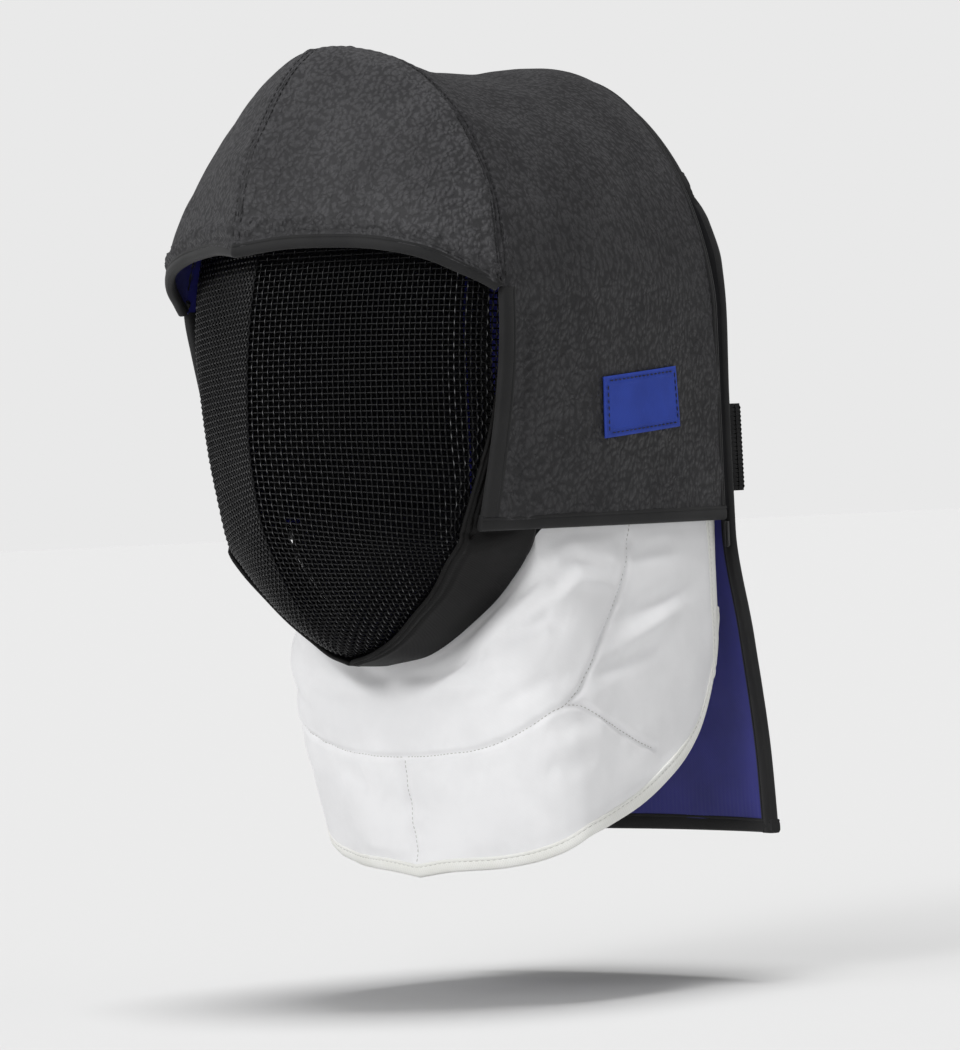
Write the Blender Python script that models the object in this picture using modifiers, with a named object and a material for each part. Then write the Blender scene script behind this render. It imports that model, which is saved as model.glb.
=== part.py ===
"""Coach's fencing mask: wire mesh cage, leather hood, padded bib and back flap.

Metres, +Z up. The wearer faces -Y and the wearer's left is +X. The origin is where the
top of the head meets the lining of the crown.
"""

import math
from collections import namedtuple

import bpy
import numpy as np
from mathutils import Vector

# Hood: the leather cap over the cage
SEAM_Y = -0.074             # top of the arc seam between the front panels and the crown
HOOD_DEPTH = 0.166          # top of the arc seam to the rear edge
HOOD_HALF_WIDTH = 0.122     # at the arc seam, where the hood is widest
HOOD_HEIGHT = 0.2515        # seam top to hem
CROWN_Z = 0.0165            # top of the arc seam above the head
BRIM_PROUD = 0.0045         # brim edge ahead of the foremost ridge of the mesh

# Walls and trims
LEATHER = 0.0024
LINING = 0.0012
GAP = 0.0003                # clearance between pieces that touch
SEAM_INSET = 0.0008         # sewn edges stay this far back from their seam
CENTRE_INSET = 0.0005       # the front panels stay this far from the centre seam
BOUND_GAP = 0.0009          # clearance between a panel's cut edge and its binding
BINDING_PROUD = 0.0006      # how far a binding stands above what it wraps
BRIM_BINDING = 0.0065
FACE_BINDING = 0.0080
HEM_BINDING = 0.0075
REAR_BINDING = 0.0040

# Cage: pressed wire mesh with a canvas band round its rim
RIM_SETBACK = 0.026         # rim plane behind the top of the arc seam
CAGE_REACH = 0.1104         # foremost ridge ahead of the rim plane
CHIN_DROP = 0.316           # seam top to the chin
MESH = 0.0020               # two crossing wires
BAND = 0.0018
BAND_GAP = 0.0012           # clearance between the mesh and the band over it
CAGE_SLOPE = 1.14           # the cage's walls lean, so their clearances grow by this much
CAGE_RELEASE = 0.20         # how fast the cage may spread once it is clear of the hood
PIPING_RADIUS = 0.0011
PIPING_TOP = 0.80           # how far up the cage the piping runs, under the brim

# Bib: padded throat cover
BIB_DROP = 0.1145           # chin to the lowest point of the bib
BIB = 0.0050
BIB_FORWARD = 0.0155        # front of the bib ahead of the rim plane
BIB_REAR_SETBACK = 0.0030   # rear edge of the bib ahead of the hood's rear edge
BIB_TUCK = 0.0240           # how far the lower edge draws in to the throat
BIB_INSIDE = 0.0090         # how far the bib reaches up inside the hem
BIB_LIP = 0.0020            # how far the bib hangs straight before it spreads
BIB_SPREAD = 0.0200         # height over which it spreads to its full width
BIB_BINDING = 0.0075

# Back flap: leather curtain behind the head
FLAP_LENGTH = 0.4040        # top of the rear arch to the lower edge
FLAP_HALF_WIDTH = 0.110     # at the lower edge
FLAP_RAKE = 0.0085          # how far the lower edge hangs behind the rear arch
FLAP_BOW = 0.0150           # how far the middle stands behind the side edges
FLAP_BINDING = 0.0085
FLAP_ARCH = 0.30            # how far round the rear arch the flap is sewn on
FLAP_BELOW = 0.0030         # the flap's top edge lies this far below the rear arch

# Back strap, two layers of webbing, and small pieces
STRAP_HEIGHT = 0.046
STRAP_BELOW_CROWN = 0.2135  # seam top to the strap's centre line
STRAP = 0.0032
STRAP_SHARE = 0.96          # how far out on the flap the strap is sewn
TAB_WIDTH = 0.0085
TAB_TURN = math.radians(37) # the tab faces half way between the side and the rear
TAB_DROP = 0.013
TAB = 0.0022
LABEL_WIDTH = 0.0630
LABEL_HEIGHT = 0.0315
LABEL = 0.0010
LABEL_BEHIND_SEAM = 0.0920  # seam top to the label's centre
LABEL_BELOW_CROWN = 0.1885
LABEL_TILT = math.radians(4.5)

# Sections of the hood from the arc seam to the rear edge. along is a share of the hood's
# depth, drop and level are shares of its height, and widths of its half width.
HoodRow = namedtuple("HoodRow", "along drop level width hem_width roundness")
HOOD_ROWS = (
    HoodRow(0.00, 0.000, 0.511, 1.000, 0.770, 1.83),
    HoodRow(0.08, 0.018, 0.511, 0.996, 0.810, 1.86),
    HoodRow(0.19, 0.038, 0.512, 0.984, 0.842, 1.90),
    HoodRow(0.32, 0.045, 0.515, 0.963, 0.858, 1.92),
    HoodRow(0.46, 0.045, 0.520, 0.934, 0.862, 1.92),
    HoodRow(0.62, 0.034, 0.530, 0.889, 0.852, 1.86),
    HoodRow(0.75, 0.028, 0.542, 0.848, 0.838, 1.80),
    HoodRow(0.88, 0.032, 0.552, 0.807, 0.808, 1.74),
    HoodRow(1.00, 0.052, 0.562, 0.775, 0.772, 1.69),
)

# Front edge of the hood, which leans forward from the seam top to the brim's corner.
# down is a share of the height and ahead a share of the depth.
FaceRow = namedtuple("FaceRow", "down ahead")
FACE_ROWS = (
    FaceRow(0.00, 0.000),
    FaceRow(0.25, 0.048),
    FaceRow(0.52, 0.104),
    FaceRow(0.60, 0.095),
    FaceRow(0.68, 0.087),
    FaceRow(0.80, 0.083),
    FaceRow(1.00, 0.083),
)

# Brim edge from the centre seam to the corner. across is a share of the hood's half width,
# forward of the brim's reach ahead of the seam and down of the hood's height.
BrimRow = namedtuple("BrimRow", "turn across forward down")
BRIM_ROWS = (
    BrimRow(0.00, 0.000, 1.000, 0.424),
    BrimRow(0.20, 0.246, 0.860, 0.413),
    BrimRow(0.40, 0.492, 0.730, 0.418),
    BrimRow(0.58, 0.721, 0.612, 0.437),
    BrimRow(0.72, 0.838, 0.512, 0.459),
    BrimRow(0.84, 0.901, 0.422, 0.481),
    BrimRow(0.93, 0.950, 0.322, 0.502),
    BrimRow(1.00, 0.988, 0.240, 0.522),
)

# Profile of a front panel from the arc seam to the brim.
PanelRow = namedtuple("PanelRow", "way forward fall")
PANEL_ROWS = (
    PanelRow(0.00, 0.000, 0.000),
    PanelRow(0.10, 0.130, -0.012),
    PanelRow(0.20, 0.275, -0.004),
    PanelRow(0.30, 0.425, 0.062),
    PanelRow(0.40, 0.572, 0.180),
    PanelRow(0.53, 0.722, 0.356),
    PanelRow(0.65, 0.833, 0.500),
    PanelRow(0.76, 0.899, 0.648),
    PanelRow(0.88, 0.951, 0.796),
    PanelRow(1.00, 1.000, 1.000),
)
PANEL_FLAT = 0.12           # how much flatter the panel is between its two seams

# Hoops of the cage from the chin to the top. Forward values are shares of the cage's
# reach and heights shares of the cage's height. rim_width is a share of the rim's half
# width at the hem, and rim_arch is the place on the hood's arch that the rim lies under.
CageRow = namedtuple("CageRow", "turn ridge_forward ridge_height rim_width rim_forward rim_height rim_arch")
CAGE_ROWS = (
    CageRow(0.00, 0.408, 0.004, 0.000, 0.145, 0.000, None),
    CageRow(0.05, 0.498, 0.023, 0.206, 0.082, 0.011, None),
    CageRow(0.10, 0.598, 0.048, 0.412, 0.045, 0.043, None),
    CageRow(0.16, 0.697, 0.081, 0.598, 0.027, 0.081, None),
    CageRow(0.22, 0.783, 0.121, 0.763, 0.009, 0.122, None),
    CageRow(0.29, 0.874, 0.182, 0.907, 0.005, 0.167, None),
    CageRow(0.36, 0.938, 0.238, 0.985, 0.003, 0.203, None),
    CageRow(0.44, 0.978, 0.309, None, 0.000, None, 0.919),
    CageRow(0.53, 1.000, 0.394, None, 0.000, None, 0.797),
    CageRow(0.62, 0.992, 0.487, None, 0.000, None, 0.671),
    CageRow(0.70, 0.960, 0.586, None, 0.000, None, 0.549),
    CageRow(0.78, 0.897, 0.688, None, 0.000, None, 0.430),
    CageRow(0.85, 0.797, 0.780, None, 0.000, None, 0.345),
    CageRow(0.91, 0.643, 0.863, None, 0.000, None, 0.255),
    CageRow(0.96, 0.453, 0.929, None, 0.000, None, 0.130),
    CageRow(1.00, 0.217, 0.972, None, 0.000, None, 0.000),
)

# Plan of one hoop: a centre crease, a flat facet, a tight corner and a straight side.
PlanRow = namedtuple("PlanRow", "turn across back")
PLAN_ROWS = (
    PlanRow(0.000, 0.000, 0.000),
    PlanRow(0.257, 0.360, 0.182),
    PlanRow(0.482, 0.676, 0.343),
    PlanRow(0.592, 0.822, 0.430),
    PlanRow(0.660, 0.907, 0.490),
    PlanRow(0.714, 0.957, 0.560),
    PlanRow(0.770, 0.985, 0.642),
    PlanRow(0.839, 1.000, 0.745),
    PlanRow(1.000, 1.000, 1.000),
)

# Where the mesh stops and the band begins, as a share of each hoop.
BandRow = namedtuple("BandRow", "turn start")
BAND_ROWS = (
    BandRow(0.00, 0.10),
    BandRow(0.05, 0.42),
    BandRow(0.10, 0.57),
    BandRow(0.16, 0.62),
    BandRow(0.22, 0.66),
    BandRow(0.29, 0.68),
    BandRow(0.36, 0.71),
    BandRow(0.44, 0.75),
    BandRow(0.53, 0.79),
    BandRow(0.62, 0.80),
    BandRow(0.78, 0.79),
    BandRow(1.00, 0.79),
)
CREASE_FROM = 0.5           # how far up the cage its hoops get their full creases

# Columns of the bib from the centre front to the rear edge. across is a share of the
# bib's half width, back of its depth, drop of the drop from the hem to the lowest point
# and draw of its tuck. rim is the place on the cage's rim that the column hangs from.
BibRow = namedtuple("BibRow", "turn across back drop draw rim")
BIB_ROWS = (
    BibRow(0.000, 0.000, 0.000, 1.000, 0.45, 0.00),
    BibRow(0.118, 0.269, 0.002, 0.982, 0.52, 0.07),
    BibRow(0.219, 0.500, 0.010, 0.976, 0.80, 0.14),
    BibRow(0.313, 0.712, 0.036, 0.959, 1.00, 0.22),
    BibRow(0.376, 0.846, 0.072, 0.938, 1.00, 0.29),
    BibRow(0.428, 0.933, 0.128, 0.914, 0.85, 0.36),
    BibRow(0.482, 0.981, 0.207, 0.888, 0.55, 0.36),
    BibRow(0.558, 1.000, 0.325, 0.860, 0.30, 0.36),
    BibRow(0.650, 1.000, 0.469, 0.820, 0.12, 0.36),
    BibRow(0.764, 0.981, 0.646, 0.745, 0.00, 0.36),
    BibRow(0.879, 0.933, 0.823, 0.625, 0.00, 0.36),
    BibRow(0.959, 0.880, 0.941, 0.460, 0.00, 0.36),
    BibRow(1.000, 0.846, 1.000, 0.310, 0.00, 0.36),
)
BIB_LENGTH_SHARE = 1.56     # length round half the bib, as a share of its depth
BIB_FRONT = 0.428           # where the bib leaves the cage's rim for the hem

# Side edge of the back flap from the rear arch down. down is a share of its length,
# width of its half width at the lower edge, rake of its rake and bow of its bow.
FlapRow = namedtuple("FlapRow", "down width rake bow")
FLAP_ROWS = (
    FlapRow(0.000, 0.660, 0.00, 0.00),
    FlapRow(0.150, 0.680, 0.15, 0.15),
    FlapRow(0.200, 0.770, 0.34, 0.40),
    FlapRow(0.254, 0.835, 0.42, 0.60),
    FlapRow(0.320, 0.850, 0.45, 0.75),
    FlapRow(0.439, 0.842, 0.45, 0.90),
    FlapRow(0.600, 0.845, 0.45, 1.00),
    FlapRow(0.739, 0.915, 0.70, 1.00),
    FlapRow(0.900, 0.980, 0.95, 1.00),
    FlapRow(1.000, 1.000, 1.00, 0.95),
)

HEM_Z = CROWN_Z - HOOD_HEIGHT
RIM_Y = SEAM_Y + RIM_SETBACK
CHIN_Z = CROWN_Z - CHIN_DROP
BRIM_REACH = SEAM_Y - (RIM_Y - CAGE_REACH - BRIM_PROUD)
REAR_Y = SEAM_Y + HOOD_DEPTH
BIB_FRONT_Y = RIM_Y - BIB_FORWARD
BIB_DEPTH = REAR_Y - BIB_REAR_SETBACK - BIB_FRONT_Y
WALL = LEATHER + GAP + LINING
HEAD = np.array((0.0, 0.0, (CROWN_Z + HEM_Z) / 2))
STEP = 1e-4                 # step for a surface's slope


def smooth_through(x, y):
    """Smooth curve through points, without overshoot."""
    step = np.diff(x)
    slope = np.diff(y) / step
    tangent = np.zeros_like(y)
    tangent[0] = slope[0]
    tangent[-1] = slope[-1]
    for i in range(1, len(y) - 1):
        if slope[i - 1] * slope[i] > 0:
            before = 2 * step[i] + step[i - 1]
            after = step[i] + 2 * step[i - 1]
            tangent[i] = (before + after) / (before / slope[i - 1] + after / slope[i])

    def at(value):
        value = min(max(value, x[0]), x[-1])
        i = min(max(int(np.searchsorted(x, value)) - 1, 0), len(x) - 2)
        s = (value - x[i]) / step[i]
        start = (2 * s ** 3 - 3 * s ** 2 + 1) * y[i] + (s ** 3 - 2 * s ** 2 + s) * step[i] * tangent[i]
        end = (3 * s ** 2 - 2 * s ** 3) * y[i + 1] + (s ** 3 - s ** 2) * step[i] * tangent[i + 1]
        return start + end

    return at


def columns(rows, names):
    """Smooth curves through the named columns of a table, by its first column."""
    key = rows[0]._fields[0]
    x = np.array([getattr(row, key) for row in rows], float)
    return {name: smooth_through(x, np.array([getattr(row, name) for row in rows], float)) for name in names}


def ease(value):
    value = min(max(value, 0.0), 1.0)
    return value * value * (3 - 2 * value)


def lerp(start, end, share):
    return start + (end - start) * share


def shares(count, start=0.0, end=1.0):
    return [lerp(start, end, i / count) for i in range(count + 1)]


hood = columns(HOOD_ROWS, HoodRow._fields[1:])
face = columns(FACE_ROWS, FaceRow._fields[1:])
brim = columns(BRIM_ROWS, BrimRow._fields[1:])
panel = columns(PANEL_ROWS, PanelRow._fields[1:])
plan = columns(PLAN_ROWS, PlanRow._fields[1:])
band = columns(BAND_ROWS, BandRow._fields[1:])
bib = columns(BIB_ROWS, BibRow._fields[1:])
flap = columns(FLAP_ROWS, FlapRow._fields[1:])


def hood_point(along, arch):
    """Outer face of the crown panel. arch is 0 at the top and 1 at the hem."""
    top = CROWN_Z - HOOD_HEIGHT * hood["drop"](along)
    level = CROWN_Z - HOOD_HEIGHT * hood["level"](along)
    width = HOOD_HALF_WIDTH * hood["width"](along)
    if arch < 0.5:
        angle = math.pi * arch
        power = 2 / hood["roundness"](along)
        x = width * math.sin(angle) ** power
        z = lerp(level, top, max(math.cos(angle), 0.0) ** power)
    else:
        down = 2 * arch - 1
        x = lerp(width, HOOD_HALF_WIDTH * hood["hem_width"](along), down ** 1.4)
        z = lerp(level, HEM_Z, down)
    front = SEAM_Y - HOOD_DEPTH * face["ahead"]((CROWN_Z - z) / HOOD_HEIGHT)
    return np.array((x, lerp(front, REAR_Y, along), z))


def normal_at(surface, first, second):
    """Unit normal of a surface, pointing away from the head."""
    low_first = min(max(first - STEP, 0.0), 1.0 - 2 * STEP)
    low_second = min(max(second - STEP, 0.0), 1.0 - 2 * STEP)
    one = surface(low_first + 2 * STEP, second) - surface(low_first, second)
    two = surface(first, low_second + 2 * STEP) - surface(first, low_second)
    normal = np.cross(one, two)
    normal /= np.linalg.norm(normal)
    if normal @ (surface(first, second) - HEAD) < 0:
        normal = -normal
    return normal


def offset(surface, first, second, distance):
    """A surface's point moved away from the head along the normal."""
    return surface(first, second) + distance * normal_at(surface, first, second)


def arch_above_hem(along, height):
    """Place on the arch that lies a height above the hem."""
    level = CROWN_Z - HOOD_HEIGHT * hood["level"](along)
    return 1 - 0.5 * height / (level - HEM_Z)


def face_along(arch, width):
    """Share of the depth that a strip of this width takes at the hood's front edge."""
    return width / HOOD_DEPTH * ease((arch - 0.5) / 0.045)


def brim_point(turn, way):
    """Outer face of a front panel. turn is 0 at the centre seam, way is 1 at the brim."""
    seam = hood_point(0.0, 0.5 * turn)
    edge = np.array((
        HOOD_HALF_WIDTH * brim["across"](turn),
        SEAM_Y - BRIM_REACH * brim["forward"](turn),
        CROWN_Z - HOOD_HEIGHT * brim["down"](turn),
    ))
    forward = panel["forward"](way)
    fall = panel["fall"](way)
    forward -= PANEL_FLAT * math.sin(math.pi * turn) * math.sin(math.pi * forward)
    return np.array((
        lerp(seam[0], edge[0], lerp(forward, fall, 0.5)),
        lerp(seam[1], edge[1], forward),
        lerp(seam[2], edge[2], fall),
    ))


def way_before_edge(turn, distance):
    """Place on a front panel's profile that lies a distance above the brim edge."""
    last = brim_point(turn, 1.0)
    left = distance
    for way in reversed(shares(50)[1:-1]):
        point = brim_point(turn, way)
        run = np.linalg.norm(point - last)
        if run >= left:
            return way + (1 - left / run) / 50
        left -= run
        last = point
    return 0.02


def hood_half_width(y, z):
    """Half width of the hood's outer face below the arch, at a place and a height."""
    front = SEAM_Y - HOOD_DEPTH * face["ahead"]((CROWN_Z - z) / HOOD_HEIGHT)
    along = min(max((y - front) / (REAR_Y - front), 0.0), 1.0)
    level = CROWN_Z - HOOD_HEIGHT * hood["level"](along)
    down = min(max((level - z) / (level - HEM_Z), 0.0), 1.0)
    width = lerp(hood["width"](along), hood["hem_width"](along), down ** 1.4)
    beyond = max(z - level, HEM_Z - z, 0.0)
    return HOOD_HALF_WIDTH * width + CAGE_RELEASE * beyond


def cage_lines():
    """Ridge and rim of the cage, from the chin to the top, as smooth curves."""
    under = CAGE_SLOPE * (WALL + BINDING_PROUD + BAND + BAND_GAP + GAP)
    rim_along = RIM_SETBACK / HOOD_DEPTH
    at_hem = offset(hood_point, rim_along, 1.0, -under)
    top_z = offset(hood_point, rim_along, 0.0, -under)[2]
    ridge = []
    rim = []
    for row in CAGE_ROWS:
        ridge.append((0.0, RIM_Y - CAGE_REACH * row.ridge_forward, lerp(CHIN_Z, top_z, row.ridge_height)))
        y = RIM_Y - CAGE_REACH * row.rim_forward
        if row.rim_arch is None:
            rim.append((at_hem[0] * row.rim_width, y, lerp(CHIN_Z, top_z, row.rim_height)))
        else:
            place = offset(hood_point, rim_along, row.rim_arch, -under)
            rim.append((place[0] if row.rim_arch else 0.0, y, place[2]))
    turns = np.array([row.turn for row in CAGE_ROWS])
    lines = [np.array(ridge), np.array(rim)]
    return [[smooth_through(turns, line[:, axis]) for axis in range(3)] for line in lines]


RIDGE_LINE, RIM_LINE = cage_lines()


def at_turn(line, turn):
    return np.array([curve(turn) for curve in line])


def cage_point(turn, way):
    """Outer face of the mesh. turn is 0 at the chin, way is 0 on the ridge."""
    ridge = at_turn(RIDGE_LINE, turn)
    rim = at_turn(RIM_LINE, turn)
    crease = ease(turn / CREASE_FROM)
    quarter = 0.5 * math.pi * way
    across = lerp(math.sin(quarter), plan["across"](way), crease)
    back = lerp(1 - math.cos(quarter), plan["back"](way), crease)
    y = lerp(ridge[1], rim[1], back)
    z = lerp(ridge[2], rim[2], across)
    inside = CAGE_SLOPE * (WALL + BINDING_PROUD + BAND + BAND_GAP + GAP)
    return np.array((min(rim[0] * across, hood_half_width(y, z) - inside), y, z))


def bib_top(turn, y):
    """Upper edge of the bib: behind the band at the front, inside the hem at the sides."""
    inside = WALL + 2 * BINDING_PROUD + 3 * GAP
    under_rim = at_turn(RIM_LINE, bib["rim"](turn)) + np.array((0.0, BAND / 2, -GAP))
    if turn <= BIB_FRONT:
        return under_rim
    along = min(max((y - SEAM_Y) / HOOD_DEPTH, 0.0), 1.0)
    x = HOOD_HALF_WIDTH * hood["hem_width"](along) - inside
    side = np.array((x, y, HEM_Z + BIB_INSIDE))
    return lerp(under_rim, side, ease((turn - BIB_FRONT) / 0.08))


def bib_point(turn, way):
    """Outer face of the bib. turn is 0 at the centre front, way is 0 at the top edge."""
    y = BIB_FRONT_Y + BIB_DEPTH * bib["back"](turn)
    top = bib_top(turn, y)
    half_width = HOOD_HALF_WIDTH * hood["hem_width"](0.6)
    lowest = lerp(HEM_Z, CHIN_Z - BIB_DROP, bib["drop"](turn))
    z = lerp(top[2], lowest, way)
    tuck = BIB_TUCK * max((CHIN_Z - z) / BIB_DROP, 0.0) ** 1.8
    x = half_width * bib["across"](turn) * (1 - 0.3 * tuck / half_width)
    y += tuck * bib["draw"](turn)
    hang = ease((min(top[2], HEM_Z) - BIB_LIP - z) / BIB_SPREAD)
    return np.array((lerp(top[0], x, hang), lerp(top[1], y, hang), z))


def bib_ways(turn, stop):
    """Rows of faces down the bib, with one row for the straight part at its top."""
    top = bib_point(turn, 0.0)[2]
    height = top - bib_point(turn, 1.0)[2]
    straight = (max(top - HEM_Z, 0.0) + BIB_LIP) / height
    return [0.0] + shares(BIB_WAYS - 1, straight, stop)


def bib_margins(turn):
    """Shares of a bib column's height and of the bib's length that its binding takes."""
    low = min(max(turn - 0.01, 0.0), 0.98)
    run = bib_point(low + 0.02, 1.0) - bib_point(low, 1.0)
    level = math.hypot(run[0], run[1])
    slope = math.hypot(level, run[2]) / level
    height = bib_point(turn, 0.0)[2] - bib_point(turn, 1.0)[2]
    return BIB_BINDING * slope / height, BIB_BINDING / (BIB_LENGTH_SHARE * BIB_DEPTH)


def flap_point(across, down):
    """Inner face of the flap. across is 0 at the centre and 1 at the side edge."""
    arch = hood_point(1.0, FLAP_ARCH * across)
    peak = hood_point(1.0, 0.0)[2]
    z = lerp(arch[2] - FLAP_BELOW, peak - FLAP_LENGTH, down)
    depth = (peak - z) / FLAP_LENGTH
    edge = FLAP_HALF_WIDTH * flap["width"](depth)
    x = lerp(arch[0], edge * across, ease(down / 0.12))
    bow = FLAP_BOW * flap["bow"](depth) * (1 - across ** 2)
    y = REAR_Y + GAP + BINDING_PROUD + FLAP_RAKE * flap["rake"](depth) + bow
    return np.array((x, y, z))


def flap_margins():
    """Shares of the flap's half width and of its length that its binding takes."""
    return FLAP_BINDING / (FLAP_HALF_WIDTH * flap["width"](0.5)), FLAP_BINDING / FLAP_LENGTH


def material(name, colour, roughness, metallic=0.0):
    result = bpy.data.materials.new(name)
    result.use_nodes = True
    shader = result.node_tree.nodes["Principled BSDF"]
    shader.inputs["Base Color"].default_value = (*colour, 1.0)
    shader.inputs["Roughness"].default_value = roughness
    shader.inputs["Metallic"].default_value = metallic
    result.diffuse_color = (*colour, 1.0)
    return result


def clear_scene():
    for old in list(bpy.data.objects):
        bpy.data.objects.remove(old, do_unlink=True)


def wall(name, rows, thickness, look, parts, mirrored=False, side=1):
    """A wall that grows inward from rows of points on its outer face."""
    points = [Vector((side * p[0], p[1], p[2])) for row in rows for p in row]
    wide = len(rows[0])
    faces = []
    outward = 0.0
    for i in range(len(rows) - 1):
        for j in range(wide - 1):
            a = i * wide + j
            face = (a, a + 1, a + wide + 1, a + wide)
            corners = [points[k] for k in face]
            normal = (corners[2] - corners[0]).cross(corners[3] - corners[1])
            outward += normal.dot(sum(corners, Vector()) / 4 - Vector(HEAD))
            faces.append(face)
    if outward < 0:
        faces = [face[::-1] for face in faces]
    mesh = bpy.data.meshes.new(name)
    mesh.from_pydata(points, [], faces)
    mesh.shade_smooth()
    obj = bpy.data.objects.new(name, mesh)
    if mirrored:
        mirror = obj.modifiers.new("Mirror", "MIRROR")
        mirror.use_axis = (True, False, False)
        mirror.merge_threshold = 0.00002
    solidify = obj.modifiers.new("Wall", "SOLIDIFY")
    solidify.thickness = thickness
    solidify.offset = -1.0
    solidify.use_quality_normals = True
    parts.objects.link(obj)
    obj.data.materials.append(look)
    return obj


def onto_plane(points):
    """Puts points that belong to the plane of symmetry exactly on it."""
    for point in points:
        point[0] = 0.0
    return points


HOOD_WAYS = 11              # rows of faces from the arc seam to the rear edge
HOOD_ARCHES = 13            # rows of faces from the crown to the hem
BRIM_TURNS = 10
BRIM_WAYS = 8
CAGE_TURNS = 18
CAGE_WAYS = (0.0, 0.11, 0.22, 0.33, 0.44, 0.54, 0.62, 0.68, 0.73, 0.79, 0.86, 0.93, 1.0)
BAND_WAYS = 7
BIB_TURNS = 18
BIB_WAYS = 9
FLAP_ACROSS = 6
FLAP_DOWN = 12


def crown_grid(distance):
    """Rows over the crown between the bindings, at a distance from the outer face."""
    grid = []
    last = 1 - (REAR_BINDING + BOUND_GAP) / HOOD_DEPTH
    for column in shares(HOOD_ARCHES):
        line = []
        for row in shares(HOOD_WAYS):
            arch = column * arch_above_hem(row, HEM_BINDING + BOUND_GAP)
            first = face_along(arch, FACE_BINDING + BOUND_GAP) + SEAM_INSET / HOOD_DEPTH
            line.append(offset(hood_point, lerp(first, last, row), arch, distance))
        grid.append(line)
    onto_plane(grid[0])
    return grid


def rear_grid():
    grid = []
    low = arch_above_hem(1.0, HEM_BINDING + BOUND_GAP)
    start = 1 - REAR_BINDING / HOOD_DEPTH
    for column in shares(HOOD_ARCHES):
        grid.append([offset(hood_point, along, column * low, BINDING_PROUD) for along in (start, 1.0)])
    onto_plane(grid[0])
    return grid


def face_grid():
    grid = []
    low = arch_above_hem(0.0, HEM_BINDING + BOUND_GAP)
    for column in shares(HOOD_ARCHES):
        arch = column * low
        if arch > 0.51:
            wide = face_along(arch, FACE_BINDING)
            grid.append([offset(hood_point, wide * part, arch, BINDING_PROUD) for part in shares(2)])
    return grid


def hem_grid():
    grid = []
    for along in shares(HOOD_WAYS):
        start = arch_above_hem(along, HEM_BINDING)
        grid.append([offset(hood_point, along, arch, BINDING_PROUD) for arch in shares(2, start, 1.0)])
    return grid


def turn_off_centre(way, distance):
    """First place beside the centre seam where a wall's inner face clears the seam."""
    low = 0.0
    high = 0.2
    for _ in range(12):
        middle = (low + high) / 2
        if offset(brim_point, middle, way, distance)[0] < CENTRE_INSET:
            low = middle
        else:
            high = middle
    return high


def front_grid(distance, thickness):
    grid = []
    inset = SEAM_INSET / BRIM_REACH
    for share in shares(BRIM_TURNS):
        line = []
        for step in shares(BRIM_WAYS):
            way = lerp(inset, way_before_edge(share, BRIM_BINDING + BOUND_GAP - 1.6 * distance), step)
            turn = lerp(turn_off_centre(way, distance - thickness), 1 + distance / HOOD_HALF_WIDTH, share)
            way = lerp(inset, way_before_edge(turn, BRIM_BINDING + BOUND_GAP - 1.6 * distance), step)
            line.append(offset(brim_point, turn, way, distance))
        grid.append(line)
    return grid


def brim_grid():
    grid = []
    inset = SEAM_INSET / BRIM_REACH
    for turn in shares(BRIM_TURNS):
        start = max(way_before_edge(turn, BRIM_BINDING), inset)
        grid.append([offset(brim_point, turn, way, BINDING_PROUD) for way in shares(2, start, 1.0)])
    onto_plane(grid[0])
    return grid


def make_hood(parts, looks):
    inner = -(LEATHER + GAP)
    bound = WALL + 2 * BINDING_PROUD
    wall("crown_panel", crown_grid(0.0), LEATHER, looks["leather"], parts, mirrored=True)
    wall("crown_lining", crown_grid(inner), LINING, looks["lining"], parts, mirrored=True)
    wall("brim_binding", brim_grid(), bound, looks["binding"], parts, mirrored=True)
    wall("rear_binding", rear_grid(), bound, looks["binding"], parts, mirrored=True)
    for side, label in ((1, "left"), (-1, "right")):
        wall("front_panel_" + label, front_grid(0.0, LEATHER), LEATHER, looks["leather"], parts, side=side)
        wall("front_lining_" + label, front_grid(inner - GAP, LINING), LINING, looks["lining"], parts, side=side)
        wall("face_binding_" + label, face_grid(), bound, looks["binding"], parts, side=side)
        wall("hem_binding_" + label, hem_grid(), bound, looks["binding"], parts, side=side)


def make_cage(parts, looks):
    grid = [[cage_point(turn, way) for way in CAGE_WAYS] for turn in shares(CAGE_TURNS)]
    onto_plane([row[0] for row in grid] + grid[0] + grid[-1])
    wall("mesh_cage", grid, MESH, looks["mesh"], parts, mirrored=True)
    grid = []
    for turn in shares(CAGE_TURNS):
        ways = shares(BAND_WAYS, band["start"](turn), 1.0)
        grid.append([offset(cage_point, turn, way, BAND + BAND_GAP) for way in ways])
    onto_plane(grid[0] + grid[-1])
    wall("rim_band", grid, BAND, looks["canvas"], parts, mirrored=True)


def piping_point(turn):
    """Centre of the piping, ahead of the band's edge and just clear of the mesh."""
    start = band["start"](turn)
    normal = normal_at(cage_point, turn, start)
    edge = cage_point(turn, start)
    run = cage_point(turn + STEP, band["start"](turn + STEP)) - edge
    forward = np.cross(normal, run)
    forward /= np.linalg.norm(forward)
    inner = cage_point(turn, max(start - 0.05, 0.0)) - cage_point(turn, start + 0.05)
    if forward @ inner < 0:
        forward = -forward
    clear = PIPING_RADIUS + BAND_GAP
    return edge + clear * forward + clear * normal


def make_piping(parts, looks):
    half = [piping_point(turn) for turn in shares(22, PIPING_TOP, 0.012)]
    points = half + [point * (-1, 1, 1) for point in reversed(half)]
    curve = bpy.data.curves.new("rim_piping", "CURVE")
    curve.dimensions = "3D"
    curve.bevel_depth = PIPING_RADIUS
    curve.bevel_resolution = 1
    curve.use_fill_caps = True
    spline = curve.splines.new("POLY")
    spline.points.add(len(points) - 1)
    for target, point in zip(spline.points, points):
        target.co = (*point, 1.0)
    obj = bpy.data.objects.new("rim_piping", curve)
    parts.objects.link(obj)
    curve.materials.append(looks["canvas"])


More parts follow.
